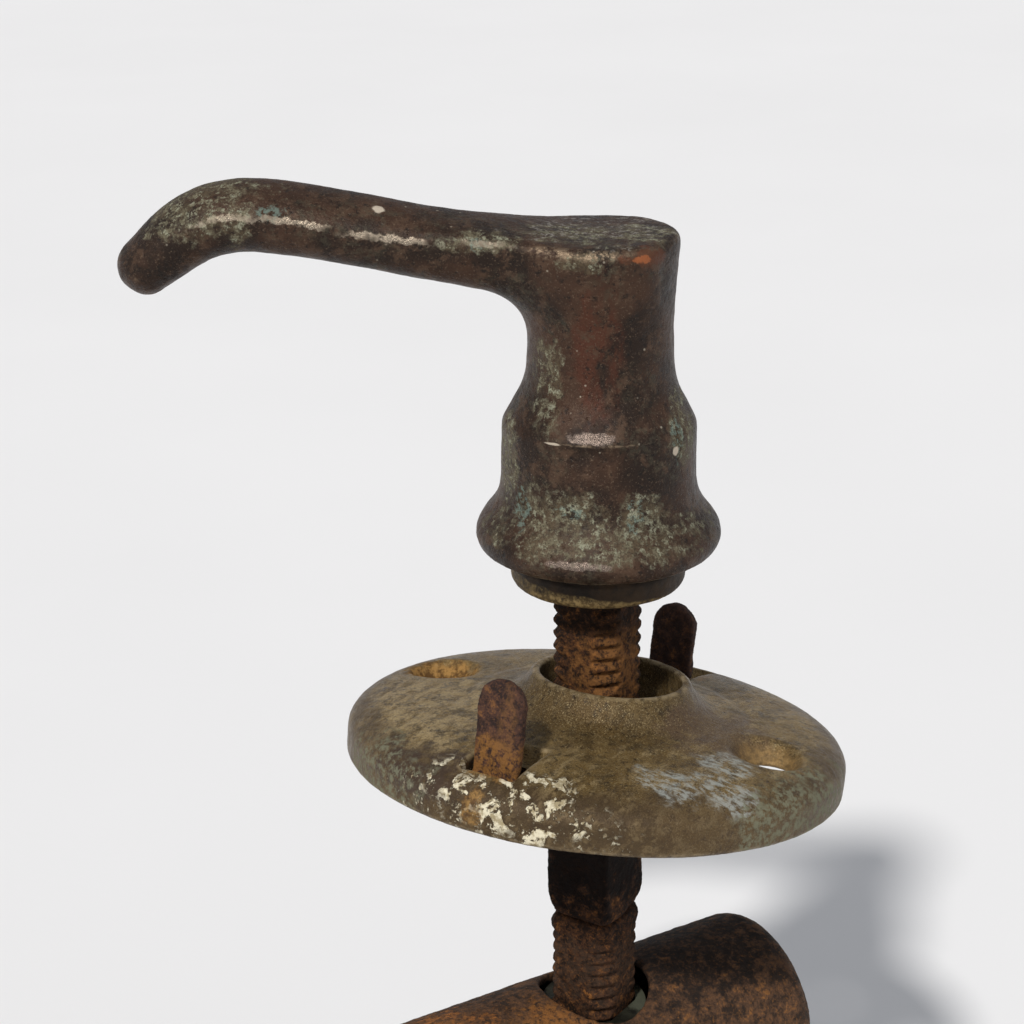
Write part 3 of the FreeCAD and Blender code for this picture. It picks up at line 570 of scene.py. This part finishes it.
def make_spring():
    """A coil of round wire with open turns, closed up at both ends, each end capped."""
    turn = np.linspace(0.0, TURNS, TURN_STEPS + 1)
    along = SPRING_START + np.interp(turn, (0.0, END_TURNS, TURNS - END_TURNS, TURNS),
                                     (0.0, END_RISE, SPRING_LENGTH - END_RISE, SPRING_LENGTH))
    angle = turn * 2 * np.pi
    out = np.stack([0 * angle, np.cos(angle), np.sin(angle)], 1)
    side = np.arange(RING) * 2 * np.pi / RING
    centre = out * SPRING_RADIUS + along[:, None] * (1, 0, 0)
    verts = (centre[:, None] + WIRE_HALF * (np.cos(side)[:, None] * out[:, None]
                                            + np.sin(side)[:, None] * np.array((1, 0, 0)))).reshape(-1, 3)
    ring, point = (a.ravel() for a in np.meshgrid(np.arange(TURN_STEPS), np.arange(RING), indexing="ij"))
    after = (point + 1) % RING
    walls = np.stack([ring * RING + point, ring * RING + RING + point, ring * RING + RING + after,
                      ring * RING + after], 1)
    step = np.arange(RING // 2 - 1)
    cap = np.stack([step, step + 1, RING - 2 - step, RING - 1 - step], 1)
    return mesh_object("coil_spring", verts, np.concatenate([walls, cap, cap[:, ::-1] + len(verts) - RING]))


# ---------------------------------------------------------------- materials

PAINTS = {}                     # finished materials by name, which is also their slot's name


def grey(value):
    return (value, value, value)


class Paint:
    """A material made of procedural layers. Places are in mm, in the row frame or the piece's own axes."""

    def __init__(self, name, own_axes=False):
        self.name = name
        self.material = bpy.data.materials.new(name)
        self.material.use_nodes = True
        self.tree = self.material.node_tree
        self.shader = next(n for n in self.tree.nodes if n.type == "BSDF_PRINCIPLED")
        if own_axes:
            self.place = self.node("ShaderNodeAttribute", {}, attribute_name="own_place").outputs["Vector"]
            return
        coords = self.tree.nodes.new("ShaderNodeTexCoord")
        scale = self.tree.nodes.new("ShaderNodeVectorMath")
        scale.operation = "SCALE"
        scale.inputs["Scale"].default_value = 1 / MM
        self.tree.links.new(coords.outputs["Object"], scale.inputs[0])
        self.place = scale.outputs[0]

    def put(self, socket, value):
        """Link a socket, or set a plain value, with colours as (red, green, blue)."""
        if isinstance(value, bpy.types.NodeSocket):
            self.tree.links.new(value, socket)
        elif isinstance(value, tuple) and socket.type == "RGBA":
            socket.default_value = (*value, 1)
        else:
            socket.default_value = value

    def node(self, kind, inputs, **settings):
        made = self.tree.nodes.new(kind)
        for key, value in settings.items():
            setattr(made, key, value)
        for key, value in inputs.items():
            self.put(made.inputs[key], value)
        return made

    def noise(self, size, detail=4.0, rough=0.55, warp=0.0, stretch=None, seed=0.0):
        """Cloudy noise from 0 to 1 whose lumps are about size mm."""
        place = self.place
        if stretch or seed:
            place = self.node("ShaderNodeMapping", {"Vector": place, "Scale": stretch or (1, 1, 1),
                                                    "Location": (seed, seed * 1.7, seed * 0.6)}).outputs[0]
        made = self.node("ShaderNodeTexNoise", {"Vector": place, "Scale": 1 / size, "Detail": detail,
                                                "Roughness": rough, "Distortion": warp})
        return made.outputs["Fac"]

    def dots(self, size, seed=0.0):
        """Distance to scattered points about size mm apart, in units of size."""
        place = self.place
        if seed:
            shift = {"Vector": place, "Location": (seed, seed, seed)}
            place = self.node("ShaderNodeMapping", shift).outputs[0]
        return self.node("ShaderNodeTexVoronoi", {"Vector": place, "Scale": 1 / size}).outputs["Distance"]

    def sum(self, operation, a, b=0.0, c=0.0):
        return self.node("ShaderNodeMath", {0: a, 1: b, 2: c}, operation=operation).outputs[0]

    def step(self, value, low, high):
        """0 below low, 1 above high and a smooth rise between. low may be the greater."""
        made = self.node("ShaderNodeMapRange", {"Value": value, "From Min": low, "From Max": high},
                         interpolation_type="SMOOTHSTEP")
        return made.outputs["Result"]

    def mix(self, share, a, b):
        made = self.node("ShaderNodeMix", {}, data_type="RGBA", clamp_factor=True)
        self.put(made.inputs[0], share)
        self.put(made.inputs[6], a)
        self.put(made.inputs[7], b)
        return made.outputs[2]

    def both(self, *masks):
        """The product of masks."""
        whole = masks[0]
        for mask in masks[1:]:
            whole = self.sum("MULTIPLY", whole, mask)
        return whole

    def any(self, *masks):
        """The strongest of masks."""
        whole = masks[0]
        for mask in masks[1:]:
            whole = self.sum("MAXIMUM", whole, mask)
        return whole

    def blot(self, under, over, amount, *masks):
        """over laid on under where all the masks are, as strongly as amount."""
        return self.mix(self.both(*masks, amount), under, over)

    def lay(self, over, amount, *masks):
        """Lay one more colour on those so far."""
        self.colour = self.blot(self.colour, over, amount, *masks)

    def ridge(self, low, high, lift=0.0):
        """Where the surface stands out, from the mesh's own mark. Below 0.5 the mark means a hollow."""
        made = self.node("ShaderNodeAttribute", {}, attribute_name="ridge")
        return self.step(self.sum("ADD", made.outputs["Fac"], lift), low, high)

    def spot(self, centre, reach, ragged=0.5, grain=2.0):
        """A ragged patch round a point, with its reach along each axis, in mm."""
        aside = self.node("ShaderNodeVectorMath", {0: self.place, 1: centre}, operation="SUBTRACT").outputs[0]
        flat = self.node("ShaderNodeVectorMath", {0: aside, 1: tuple(1 / r for r in reach)},
                         operation="MULTIPLY").outputs[0]
        far = self.node("ShaderNodeVectorMath", {0: flat}, operation="LENGTH").outputs["Value"]
        rough = self.sum("MULTIPLY", self.sum("SUBTRACT", self.noise(grain, 5, 0.65), 0.5), ragged * 3)
        return self.step(self.sum("ADD", far, rough), 1.15, 0.7)

    def finish(self, rough, metal, relief, specular=0.5):
        """relief is (height, distance in mm) pairs, added one over the other."""
        self.put(self.shader.inputs["Base Color"], self.colour)
        self.put(self.shader.inputs["Roughness"], rough)
        self.put(self.shader.inputs["Metallic"], metal)
        self.shader.inputs["Specular IOR Level"].default_value = specular
        normal = None
        for height, distance in relief:
            bump = self.node("ShaderNodeBump", {"Height": height, "Distance": distance * MM, "Strength": 1.0})
            if normal is not None:
                self.tree.links.new(normal, bump.inputs["Normal"])
            normal = bump.outputs[0]
        self.tree.links.new(normal, self.shader.inputs["Normal"])
        PAINTS[self.name] = self.material


def bronze_paint():
    """The lever: dark brown, redder down the hub's middle, worn bright on ridges, verdigris in hollows, with
    a painted highlight along the arm's ridge and two painted glints on the hub.
    """
    p = Paint("lever_bronze", own_axes=True)
    broad, lumps = p.noise(6, 5), p.noise(2.2, 8, 0.70, seed=15)
    fine, grain = p.noise(0.8, 7, 0.70), p.noise(0.24, 5, 0.75, seed=21)
    p.colour = p.mix(p.step(broad, 0.38, 0.62), (0.0180, 0.0098, 0.0060), (0.0490, 0.0238, 0.0132))
    p.lay((0.084, 0.0475, 0.0282), 0.7, p.step(lumps, 0.50, 0.62))
    red = p.spot((0.2, 7.5, 88.5), (2.6, 5.0, 7.5), 0.6, 3)
    p.lay((0.072, 0.0220, 0.0105), 0.8, red,
          p.step(p.noise(2.0, 7, 0.65, stretch=(1, 1, 0.4)), 0.38, 0.60))
    p.lay((0.0075, 0.0048, 0.0034), 0.75, p.step(fine, 0.46, 0.36))
    p.lay((0.185, 0.130, 0.085), 0.50, p.step(grain, 0.56, 0.66))
    hollow = p.step(p.noise(0.8, 9, 0.75, seed=9), 0.480, 0.560)
    patches = p.any(*[p.spot(centre, reach, 0.9, 2.5) for centre, reach in (
        ((40, 2, 102), (6.5, 6, 4)), ((0, 7, 68.8), (13, 9, 2.2)), ((4, 8, 71.5), (6, 5, 3)),
        ((-4, 9, 71), (3, 3, 2.5)), ((5.2, 6, 84.5), (1.8, 4, 5)), ((-1, 2, 99.6), (8, 5, 1.4)),
        ((1.5, 8, 97.4), (2.6, 2, 0.9)), ((12, 5.4, 98.8), (3.5, 2, 1.2)), ((9.4, 4, 75.5), (1.5, 5, 4.5)),
        ((-8.4, 4, 79.5), (1.8, 4, 4)))])
    p.lay((0.088, 0.066, 0.037), 0.70, patches, p.step(lumps, 0.40, 0.56))
    p.lay((0.190, 0.172, 0.112), 0.62, patches, hollow)
    p.lay((0.340, 0.350, 0.255), 0.60, patches, hollow, p.step(fine, 0.50, 0.58))
    p.lay((0.080, 0.072, 0.046), 0.3, hollow, p.step(p.noise(7, 3, seed=4), 0.48, 0.60))
    p.lay((0.330, 0.300, 0.265), 0.65, p.spot((-1, 0, 100), (9, 8, 1.6), 0.9, 2.5),
          p.step(p.noise(0.7, 8, 0.72, seed=31), 0.53, 0.58))
    teal = p.any(*[p.spot(centre, reach, 0.9, 1.2) for centre, reach in (
        ((7.9, 7, 71.5), (0.8, 3, 2.0)), ((-3.6, 9.8, 71.8), (0.9, 2, 1.6)), ((3, 10, 72.0), (1.8, 2, 0.6)),
        ((12.2, 5.5, 98.9), (1.3, 1, 0.7)), ((33, 5, 101.5), (1.5, 1.5, 0.8)),
        ((-8, 6, 79.5), (0.8, 1.5, 3)))])
    p.lay((0.190, 0.265, 0.225), 0.55, teal, p.step(p.noise(0.6, 8, 0.75, seed=7), 0.47, 0.57))
    pocks = p.noise(0.2, 4, 0.65, seed=33)
    p.lay((0.034, 0.024, 0.0150), 0.75, patches, p.step(pocks, 0.49, 0.38))
    p.lay((0.370, 0.365, 0.265), 0.38, patches, hollow, p.step(pocks, 0.56, 0.68))
    # a thin bright line along the arm's ridge, in broken stretches: a painted highlight on rubbed metal
    line = p.node("ShaderNodeAttribute", {}, attribute_name="arm_ridge_highlight").outputs["Fac"]
    frayed = p.sum("ADD", line, p.sum("MULTIPLY", p.sum("SUBTRACT", fine, 0.5), 2.4))
    line = p.both(p.step(frayed, 0.45, 0.80), p.step(p.noise(4, 5, seed=2), 0.38, 0.56))
    edge = p.both(p.spot((4, 8, 98.3), (6, 2.5, 2), 0.2), 0.12)
    worn = p.both(p.ridge(0.74, 0.95, edge), p.step(p.noise(1.3, 7, 0.7), 0.42, 0.54))
    # two painted glints where the key light's reflection falls, above the front shoulder and on the lip's
    # front; also glossier and more metallic there
    painted_glint = p.any(p.spot((0.8, 9.6, 79.8), (2.2, 2, 0.65), 0.8, 1.2),
                   p.spot((2.0, 12.5, 67.2), (3.2, 2, 0.42), 0.8, 0.9))
    p.lay((0.320, 0.235, 0.155), 0.80, worn)
    p.lay((0.275, 0.215, 0.180), 0.50, painted_glint)
    p.lay((0.510, 0.425, 0.325), 0.56, line)
    pale = p.both(p.step(p.dots(1.7, 3), 0.10, 0.04), p.step(p.noise(4, 2, seed=1), 0.46, 0.60))
    p.lay((0.40, 0.35, 0.27), 0.7, pale)
    p.lay((0.105, 0.036, 0.016), 0.7, p.spot((-4.9, 7.0, 97.9), (2.4, 2.4, 0.85), 0.9, 1.2))
    p.lay((0.32, 0.100, 0.034), 0.8, p.spot((-4.2, 7.5, 97.8), (1.0, 1.3, 0.40), 0.8, 0.8))
    # three specks of old paint
    cream = p.any(p.spot((22.3, 2.6, 101.6), (0.65, 0.6, 0.6), 0.35, 1),
                  p.spot((-7.8, 6.6, 77.6), (0.42, 0.5, 0.5), 0.35, 1),
                  p.spot((4.7, 8.9, 79.0), (0.85, 2.5, 0.13), 0.35, 0.8))
    p.colour = p.mix(cream, p.colour, (0.50, 0.43, 0.34))
    rough = p.mix(p.step(fine, 0.3, 0.7), grey(0.34), grey(0.54))
    rough = p.blot(rough, grey(0.26), 1.0, p.any(worn, painted_glint, line))
    rough = p.blot(rough, grey(0.85), 0.9, p.any(p.both(patches, hollow), teal, cream))
    metal = p.sum("MULTIPLY_ADD", p.any(worn, painted_glint, line), 0.45, 0.25)
    pits = p.step(p.dots(0.9), 0.05, 0.22)
    p.finish(rough, metal,
             [(broad, 0.25), (lumps, 0.16), (fine, 0.12), (pits, 0.06), (grain, 0.03)], 0.25)


def collar_paint():
    """Painted shadow of the lever's lip: black brown over the upper collar, a tan band round the bottom,
    deeper towards the arm's side.
    """
    p = Paint("collar_brass")
    broad, fine = p.noise(2.5, 5), p.noise(0.6, 7, 0.7)
    # the base colour is a painted shadow: near black brown where the lip shades the collar's upper part
    p.colour = p.mix(p.step(broad, 0.35, 0.65), (0.012, 0.0070, 0.0036), (0.040, 0.0220, 0.0090))
    height = p.node("ShaderNodeVectorMath", {0: p.place, 1: (-0.08, 0.05, 1.0)}, operation="DOT_PRODUCT")
    wavy = p.sum("ADD", height.outputs["Value"], p.sum("MULTIPLY", p.sum("SUBTRACT", broad, 0.5), 1.2))
    # below the painted shadow's wavy, tilted lower edge the tan band shows
    below_shadow = p.step(wavy, 62.25, 61.9)
    tan = p.mix(p.step(fine, 0.42, 0.60), (0.078, 0.049, 0.018), (0.235, 0.162, 0.066))
    p.colour = p.mix(below_shadow, p.colour, tan)
    p.lay((0.020, 0.0130, 0.0080), 0.75, p.step(p.noise(0.9, 6, 0.7, seed=3), 0.54, 0.62))
    p.finish(p.mix(fine, grey(0.45), grey(0.75)), 0.25,
             [(broad, 0.15), (fine, 0.10)], 0.3)


def rose_paint():
    """Olive brown, purple brown at the rim, with paint flecks, verdigris and rust stains in places, and a
    pale painted sheen on the dome's front.
    """
    p = Paint("rose_bronze", own_axes=True)
    broad, fine, grain = p.noise(7, 5), p.noise(0.9, 8, 0.72), p.noise(0.3, 5, 0.7, seed=21)
    streak = p.noise(1.3, 8, 0.70, 0.3, stretch=(0.35, 1.0, 1.0))
    cloud, micro = p.noise(1.9, 8, 0.72, seed=12), p.noise(0.16, 4, 0.65, seed=31)
    p.colour = p.mix(p.step(broad, 0.36, 0.64), (0.140, 0.088, 0.0300), (0.230, 0.156, 0.062))
    tan = p.spot((14, -14, 6), (12, 10, 4), 0.6, 4)
    p.lay((0.470, 0.350, 0.180), 0.9, tan, p.step(streak, 0.38, 0.58))
    p.lay((0.320, 0.236, 0.118), 0.7, p.step(streak, 0.50, 0.62))
    p.lay((0.078, 0.048, 0.0185), 0.7, p.spot((2, 1, 9), (15, 15, 4.5), 0.5, 3))
    p.lay((0.055, 0.036, 0.0155), 0.8, p.step(cloud, 0.48, 0.64))
    p.lay((0.028, 0.018, 0.0095), 0.75, p.step(fine, 0.46, 0.38))
    p.lay((0.360, 0.290, 0.165), 0.45, p.step(grain, 0.57, 0.69))
    p.lay((0.105, 0.064, 0.0400), 0.65, p.spot((0, 14, 7), (7, 6, 4), 0.6, 3))
    p.lay((0.030, 0.019, 0.0095), 0.7, p.step(micro, 0.47, 0.36))
    p.lay((0.480, 0.380, 0.200), 0.6, p.step(micro, 0.56, 0.68))
    flat = p.node("ShaderNodeVectorMath", {0: p.place, 1: (1, 1, 0)}, operation="MULTIPLY").outputs[0]
    out = p.node("ShaderNodeVectorMath", {0: flat}, operation="LENGTH").outputs["Value"]
    wavy = p.sum("ADD", out, p.sum("MULTIPLY", p.sum("SUBTRACT", p.noise(5, 5), 0.5), 8))
    p.lay((0.072, 0.046, 0.0245), 0.7, p.step(wavy, 23.0, 26.0))
    p.lay((0.056, 0.035, 0.0250), 0.8, p.spot((25, -6, 4), (4.5, 8, 3), 0.8, 3),
          p.step(cloud, 0.36, 0.52))
    p.lay((0.050, 0.032, 0.0165), 0.6, p.spot((25, 9, 3), (5, 16, 5), 0.7, 3),
          p.step(streak, 0.60, 0.46))
    worn = p.both(p.ridge(0.64, 0.90), p.step(p.noise(1.5, 6, 0.7, seed=5), 0.42, 0.56))
    p.lay((0.330, 0.250, 0.140), 0.7, worn)
    brushed = p.noise(0.7, 8, 0.72, 0.3, stretch=(1.0, 0.5, 1.0), seed=6)
    # a pale bluish painted sheen in brushed streaks on the dome's front right, where the light's reflection
    # lies
    painted_sheen = p.any(p.spot((15.2, 16.4, 6.2), (3.0, 4.2, 3), 0.7, 3),
                  p.spot((12.6, 20.6, 5.6), (3.2, 4.6, 3), 0.7, 3),
                  p.spot((7.0, 18.5, 6.3), (3.0, 3.4, 3), 0.5, 3))
    painted_sheen = p.both(painted_sheen, p.step(brushed, 0.43, 0.60))
    p.lay((0.400, 0.420, 0.390), 0.72, painted_sheen)
    mould = p.both(p.spot((5, 26.5, 2.5), (13, 6, 4), 0.7, 3),
                   p.step(p.noise(0.8, 8, 0.72, seed=8), 0.46, 0.56))
    mould = p.any(mould, p.both(p.spot((24, -14, 2), (6, 10, 4), 0.7, 3),
                                p.step(p.noise(0.7, 8, 0.72, seed=11), 0.48, 0.58)))
    p.lay((0.215, 0.220, 0.150), 0.72, mould)
    flecks = p.both(p.spot((25.6, 4.5, 3.8), (4.2, 11.5, 4), 0.7, 3),
                    p.step(p.noise(1.9, 7, 0.68, 0.5, seed=13), 0.530, 0.550))
    crumbs = p.both(p.spot((26, 5, 2), (4, 16, 2.5), 0.8, 3),
                    p.step(p.noise(0.7, 7, 0.7, 0.5, seed=3), 0.58, 0.61))
    flecks = p.any(flecks, crumbs)
    old_paint = p.mix(p.step(fine, 0.42, 0.56), (0.40, 0.33, 0.20), (0.76, 0.70, 0.53))
    p.colour = p.mix(flecks, p.colour, old_paint)
    stain = p.any(p.spot((23.8, 0, 5.6), (1.8, 2.8, 1.8), 0.9, 1.5),
                  p.spot((27.2, 0.2, 2.8), (1.4, 1.2, 2.2), 0.9, 1.2),
                  p.spot((-19, 0, 6), (4, 4.5, 4), 0.7, 1.5))
    hole = p.spot((0, -SCREW_REACH, 4.5), (4.3, 4.3, 6), 0.35, 1.5)
    other = p.spot((0, SCREW_REACH, 4.0), (3.9, 3.9, 6), 0.35, 1.5)
    orange = p.mix(p.step(p.noise(0.8, 7, 0.7), 0.40, 0.58), (0.120, 0.060, 0.020), (0.38, 0.215, 0.068))
    p.lay(orange, 0.95, hole)
    p.lay(p.mix(0.5, orange, (0.20, 0.145, 0.07)), 0.8, other)
    p.lay(orange, 0.7, stain)
    rough = p.mix(p.step(fine, 0.3, 0.7), grey(0.27), grey(0.48))
    rough = p.mix(p.any(flecks, hole, painted_sheen, mould), rough, grey(0.85))
    p.finish(rough, 0.28,
             [(broad, 0.2), (cloud, 0.14), (streak, 0.10), (fine, 0.12), (grain, 0.04), (flecks, 0.12)], 0.2)


SOLID = 0.9


def rust_paint(name, dark, middle, bright, share=0.5, size=1.0, patches=(), own_axes=False, specular=0.25):
    """Pitted rust: a dark scale, a middle brown and bright grains. share moves it towards the bright and
    size scales its lumps. A patch is a centre, reach, colour and amount, for stains and also for painted
    shade and light; from SOLID up it is unbroken."""
    p = Paint(name, own_axes)
    broad, lumps = p.noise(5 * size, 5, 0.6), p.noise(1.5 * size, 8, 0.72)
    grain = p.noise(0.35 * size, 5, 0.7)
    p.colour = p.mix(p.step(lumps, 0.42, 0.56), dark, middle)
    p.lay(bright, 0.9, p.step(lumps, 0.62 - 0.2 * share, 0.70 - 0.2 * share),
          p.step(broad, 0.40, 0.58))
    p.lay(bright, 0.55, p.step(grain, 0.52, 0.68))
    p.lay(dark, 0.8, p.step(grain, 0.47, 0.36))
    p.lay(middle, 0.45, p.ridge(0.60, 0.85), p.step(grain, 0.4, 0.6))
    speck = p.step(p.noise(0.7, 7, 0.7, seed=5), 0.40, 0.56)
    for centre, reach, tint, amount in patches:
        masks = [p.spot(centre, reach, 0.6, 1.8)] + ([speck] if amount < SOLID else [])
        p.lay(tint, amount, *masks)
    p.finish(p.mix(grain, grey(0.65), grey(0.92)), 0.0,
             [(lumps, 0.35 * size), (grain, 0.18 * size)], specular)


def brass_paint(name, dark, light, tarnish, patches=()):
    """Old tarnished brass or bronze of a hidden part, with grime in blotches and fine scratches."""
    p = Paint(name)
    broad, fine = p.noise(4, 5), p.noise(0.5, 6, 0.65)
    scratch = p.noise(0.5, 4, 0.6, stretch=(1.0, 0.12, 1.0))
    p.colour = p.mix(p.step(broad, 0.35, 0.65), dark, light)
    p.lay(light, 0.5, p.step(scratch, 0.55, 0.7))
    p.lay(tarnish, 0.7, p.step(p.noise(1.4, 6, 0.7, seed=3), 0.52, 0.62))
    p.lay(light, 0.5, p.ridge(0.60, 0.85))
    for centre, reach, tint, amount in patches:
        p.lay(tint, amount, p.spot(centre, reach, 0.6, 1.5))
    p.finish(p.mix(fine, grey(0.32), grey(0.62)), 0.55,
             [(broad, 0.12), (scratch, 0.03), (fine, 0.06)])


bronze_paint()
collar_paint()
rose_paint()
brass_paint("plate_brass", (0.085, 0.058, 0.026), (0.19, 0.132, 0.062), (0.045, 0.036, 0.022))
brass_paint("cam_bronze", (0.010, 0.0090, 0.0065), (0.040, 0.040, 0.027), (0.008, 0.007, 0.0055), (
    ((-4.9, 3.1, 9), (2.6, 2.6, 4), (0.16, 0.17, 0.12), 0.85),))
rust_paint("rusty_iron", (0.014, 0.0090, 0.0070), (0.060, 0.0275, 0.0145), (0.24, 0.098, 0.027), 0.35, 0.8, (
    ((1, 5, 50), (6, 6, 7), (0.27, 0.120, 0.036), 0.55),
    # painted shadow of the collar across the spindle just under it
    ((0, 0, 58.5), (9, 9, 3), (0.013, 0.008, 0.006), 0.8),
    # painted shadow of the rose over the spindle under it, near black and unbroken
    ((0, 0, 31), (9, 9, 11), (0.0055, 0.0034, 0.0030), 0.93),
    ((0, 0, 14), (8, 8, 5), (0.066, 0.040, 0.026), 0.5)), specular=0.1)
rust_paint("rusty_strap", (0.021, 0.0115, 0.0100), (0.078, 0.036, 0.024), (0.21, 0.092, 0.029), 0.35, 0.7, (
    ((20, 0, 5), (3, 4, 4), (0.27, 0.122, 0.029), 0.8),
    ((20, 1, 10), (3, 1.2, 4), (0.19, 0.090, 0.032), 0.5),
    ((-20, 0, 8), (4, 4, 9), (0.034, 0.0175, 0.0145), 0.7)), own_axes=True)
rust_paint("rusty_case", (0.026, 0.0150, 0.0092), (0.098, 0.049, 0.025), (0.25, 0.106, 0.030), 0.3, 1.2, (
    ((9, 6, 9), (5, 6, 5), (0.30, 0.120, 0.028), 0.8),
    # painted shadow of the rose over the tube's top near its rear
    ((-13, 0, 11), (11, 9, 5), (0.013, 0.008, 0.006), 0.85),
    # orange rust on the tube's front end, painted brighter as a pool of light
    ((27, 3, 9), (13, 9, 7), (0.46, 0.170, 0.038), 0.89)))
rust_paint("spring_steel", (0.035, 0.030, 0.027), (0.10, 0.085, 0.070), (0.17, 0.085, 0.04), 0.2, 0.6)


# ---------------------------------------------------------------- the pieces on their bodies

def place(piece, body, slot, node):
    """Ride the piece on its body, in place of the CAD node, in the finish of its slot."""
    piece.data.materials.clear()
    piece.data.materials.append(PAINTS[slot])
    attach(piece, body)
    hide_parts(node)


place(make_lever(), "handle", "lever_bronze", "lever_handle")
place(make_collar(), "handle", "collar_brass", "lever_collar")
spindle_top, spindle_base = make_spindles()
place(spindle_top, "handle", "rusty_iron", "spindle_upper")
place(spindle_base, "handle", "rusty_iron", "spindle_lower")
place(make_rose(), "rose", "rose_bronze", "rose")
place(make_strap(), "strap", "rusty_strap", "yoke_strap")
place(make_case(), "case", "rusty_case", "latch_tube")
place(make_faceplate(), "case", "plate_brass", "faceplate")
place(make_bolt(), "bolt", "plate_brass", "latch_bolt")
spring = make_spring()
place(spring, "case", "spring_steel", "bolt_spring")
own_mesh(spring)

# the CAD nodes that stay get their slot's finish and lightly worn edges
WELD_REACH, EDGE_WIDTH, EDGE_ANGLE = 0.002, 0.12, 35
SLOT_OF = {part["node"]: part["material_slot"] for part in frame["record"]["subparts"]}
for node, kept in frame["nodes"].items():
    if kept.hide_render:
        continue
    kept.data.materials.clear()
    kept.data.materials.append(PAINTS[SLOT_OF[node]])
    weld = kept.modifiers.new("weld", "WELD")
    weld.merge_threshold = WELD_REACH * MM
    bevel = kept.modifiers.new("worn_edges", "BEVEL")
    bevel.width = EDGE_WIDTH * MM
    bevel.segments = 2
    bevel.limit_method = "ANGLE"
    bevel.angle_limit = math.radians(EDGE_ANGLE)


# ---------------------------------------------------------------- floor, light and camera

FLOOR_HALF, FLOOR_LEVEL = 4.0, -0.0426      # in metres, just under the spindle's end
FOCAL_LENGTH, SENSOR = 79.0, 36.0           # in millimetres
CAMERA_PLACE = (0.12634, 0.18416, 0.15269)
CAMERA_AHEAD = (-0.4971, -0.7926, -0.3533)
CAMERA_ROLL = -0.0047                       # in radians


def make_floor():
    mesh = bpy.data.meshes.new("floor")
    corners = [(x * FLOOR_HALF, y * FLOOR_HALF, FLOOR_LEVEL)
               for x, y in ((-1, -1), (1, -1), (1, 1), (-1, 1))]
    mesh.from_pydata(corners, [], [(0, 1, 2, 3)])
    floor = bpy.data.objects.new("floor", mesh)
    bpy.context.scene.collection.objects.link(floor)
    p = Paint("floor_card")
    cloudy = p.noise(120, 3)
    p.colour = p.mix(cloudy, (0.80, 0.80, 0.805), (0.84, 0.84, 0.845))
    p.finish(0.9, 0.0, [(p.noise(3, 3), 0.02)], 0.2)
    floor.data.materials.append(p.material)


def make_light(name, azimuth, elevation, strength, angle, colour):
    """A far soft light that comes from an azimuth and elevation, in degrees, in the row frame."""
    data = bpy.data.lights.new(name, "SUN")
    data.energy = strength
    data.angle = math.radians(angle)
    data.color = colour
    lamp = bpy.data.objects.new(name, data)
    bpy.context.scene.collection.objects.link(lamp)
    a, e = math.radians(azimuth), math.radians(elevation)
    source = Vector((math.cos(a) * math.cos(e), math.sin(a) * math.cos(e), math.sin(e)))
    lamp.rotation_euler = source.to_track_quat("Z", "Y").to_euler()


def make_world():
    world = bpy.data.worlds.new("studio")
    bpy.context.scene.world = world
    world.use_nodes = True
    back = world.node_tree.nodes["Background"]
    back.inputs["Color"].default_value = (0.93, 0.95, 1.0, 1)
    back.inputs["Strength"].default_value = 0.36


def make_camera():
    data = bpy.data.cameras.new("camera")
    data.lens = FOCAL_LENGTH
    data.sensor_width = SENSOR
    data.clip_start = 0.01
    camera = bpy.data.objects.new("camera", data)
    bpy.context.scene.collection.objects.link(camera)
    ahead = Vector(CAMERA_AHEAD).normalized()
    level = ahead.cross(Vector((0, 0, 1))).normalized()
    upward = level.cross(ahead)
    right = level * math.cos(CAMERA_ROLL) + upward * math.sin(CAMERA_ROLL)
    above = upward * math.cos(CAMERA_ROLL) - level * math.sin(CAMERA_ROLL)
    axes = Matrix([right, above, -ahead]).transposed().to_4x4()
    camera.matrix_world = Matrix.Translation(CAMERA_PLACE) @ axes
    bpy.context.scene.camera = camera


make_floor()
make_light("key", 34, 46, 2.85, 5, (1.0, 0.975, 0.94))
make_light("fill", 130, 30, 0.35, 60, (0.86, 0.92, 1.0))
make_world()
make_camera()
bpy.context.scene.view_settings.view_transform = "Standard"
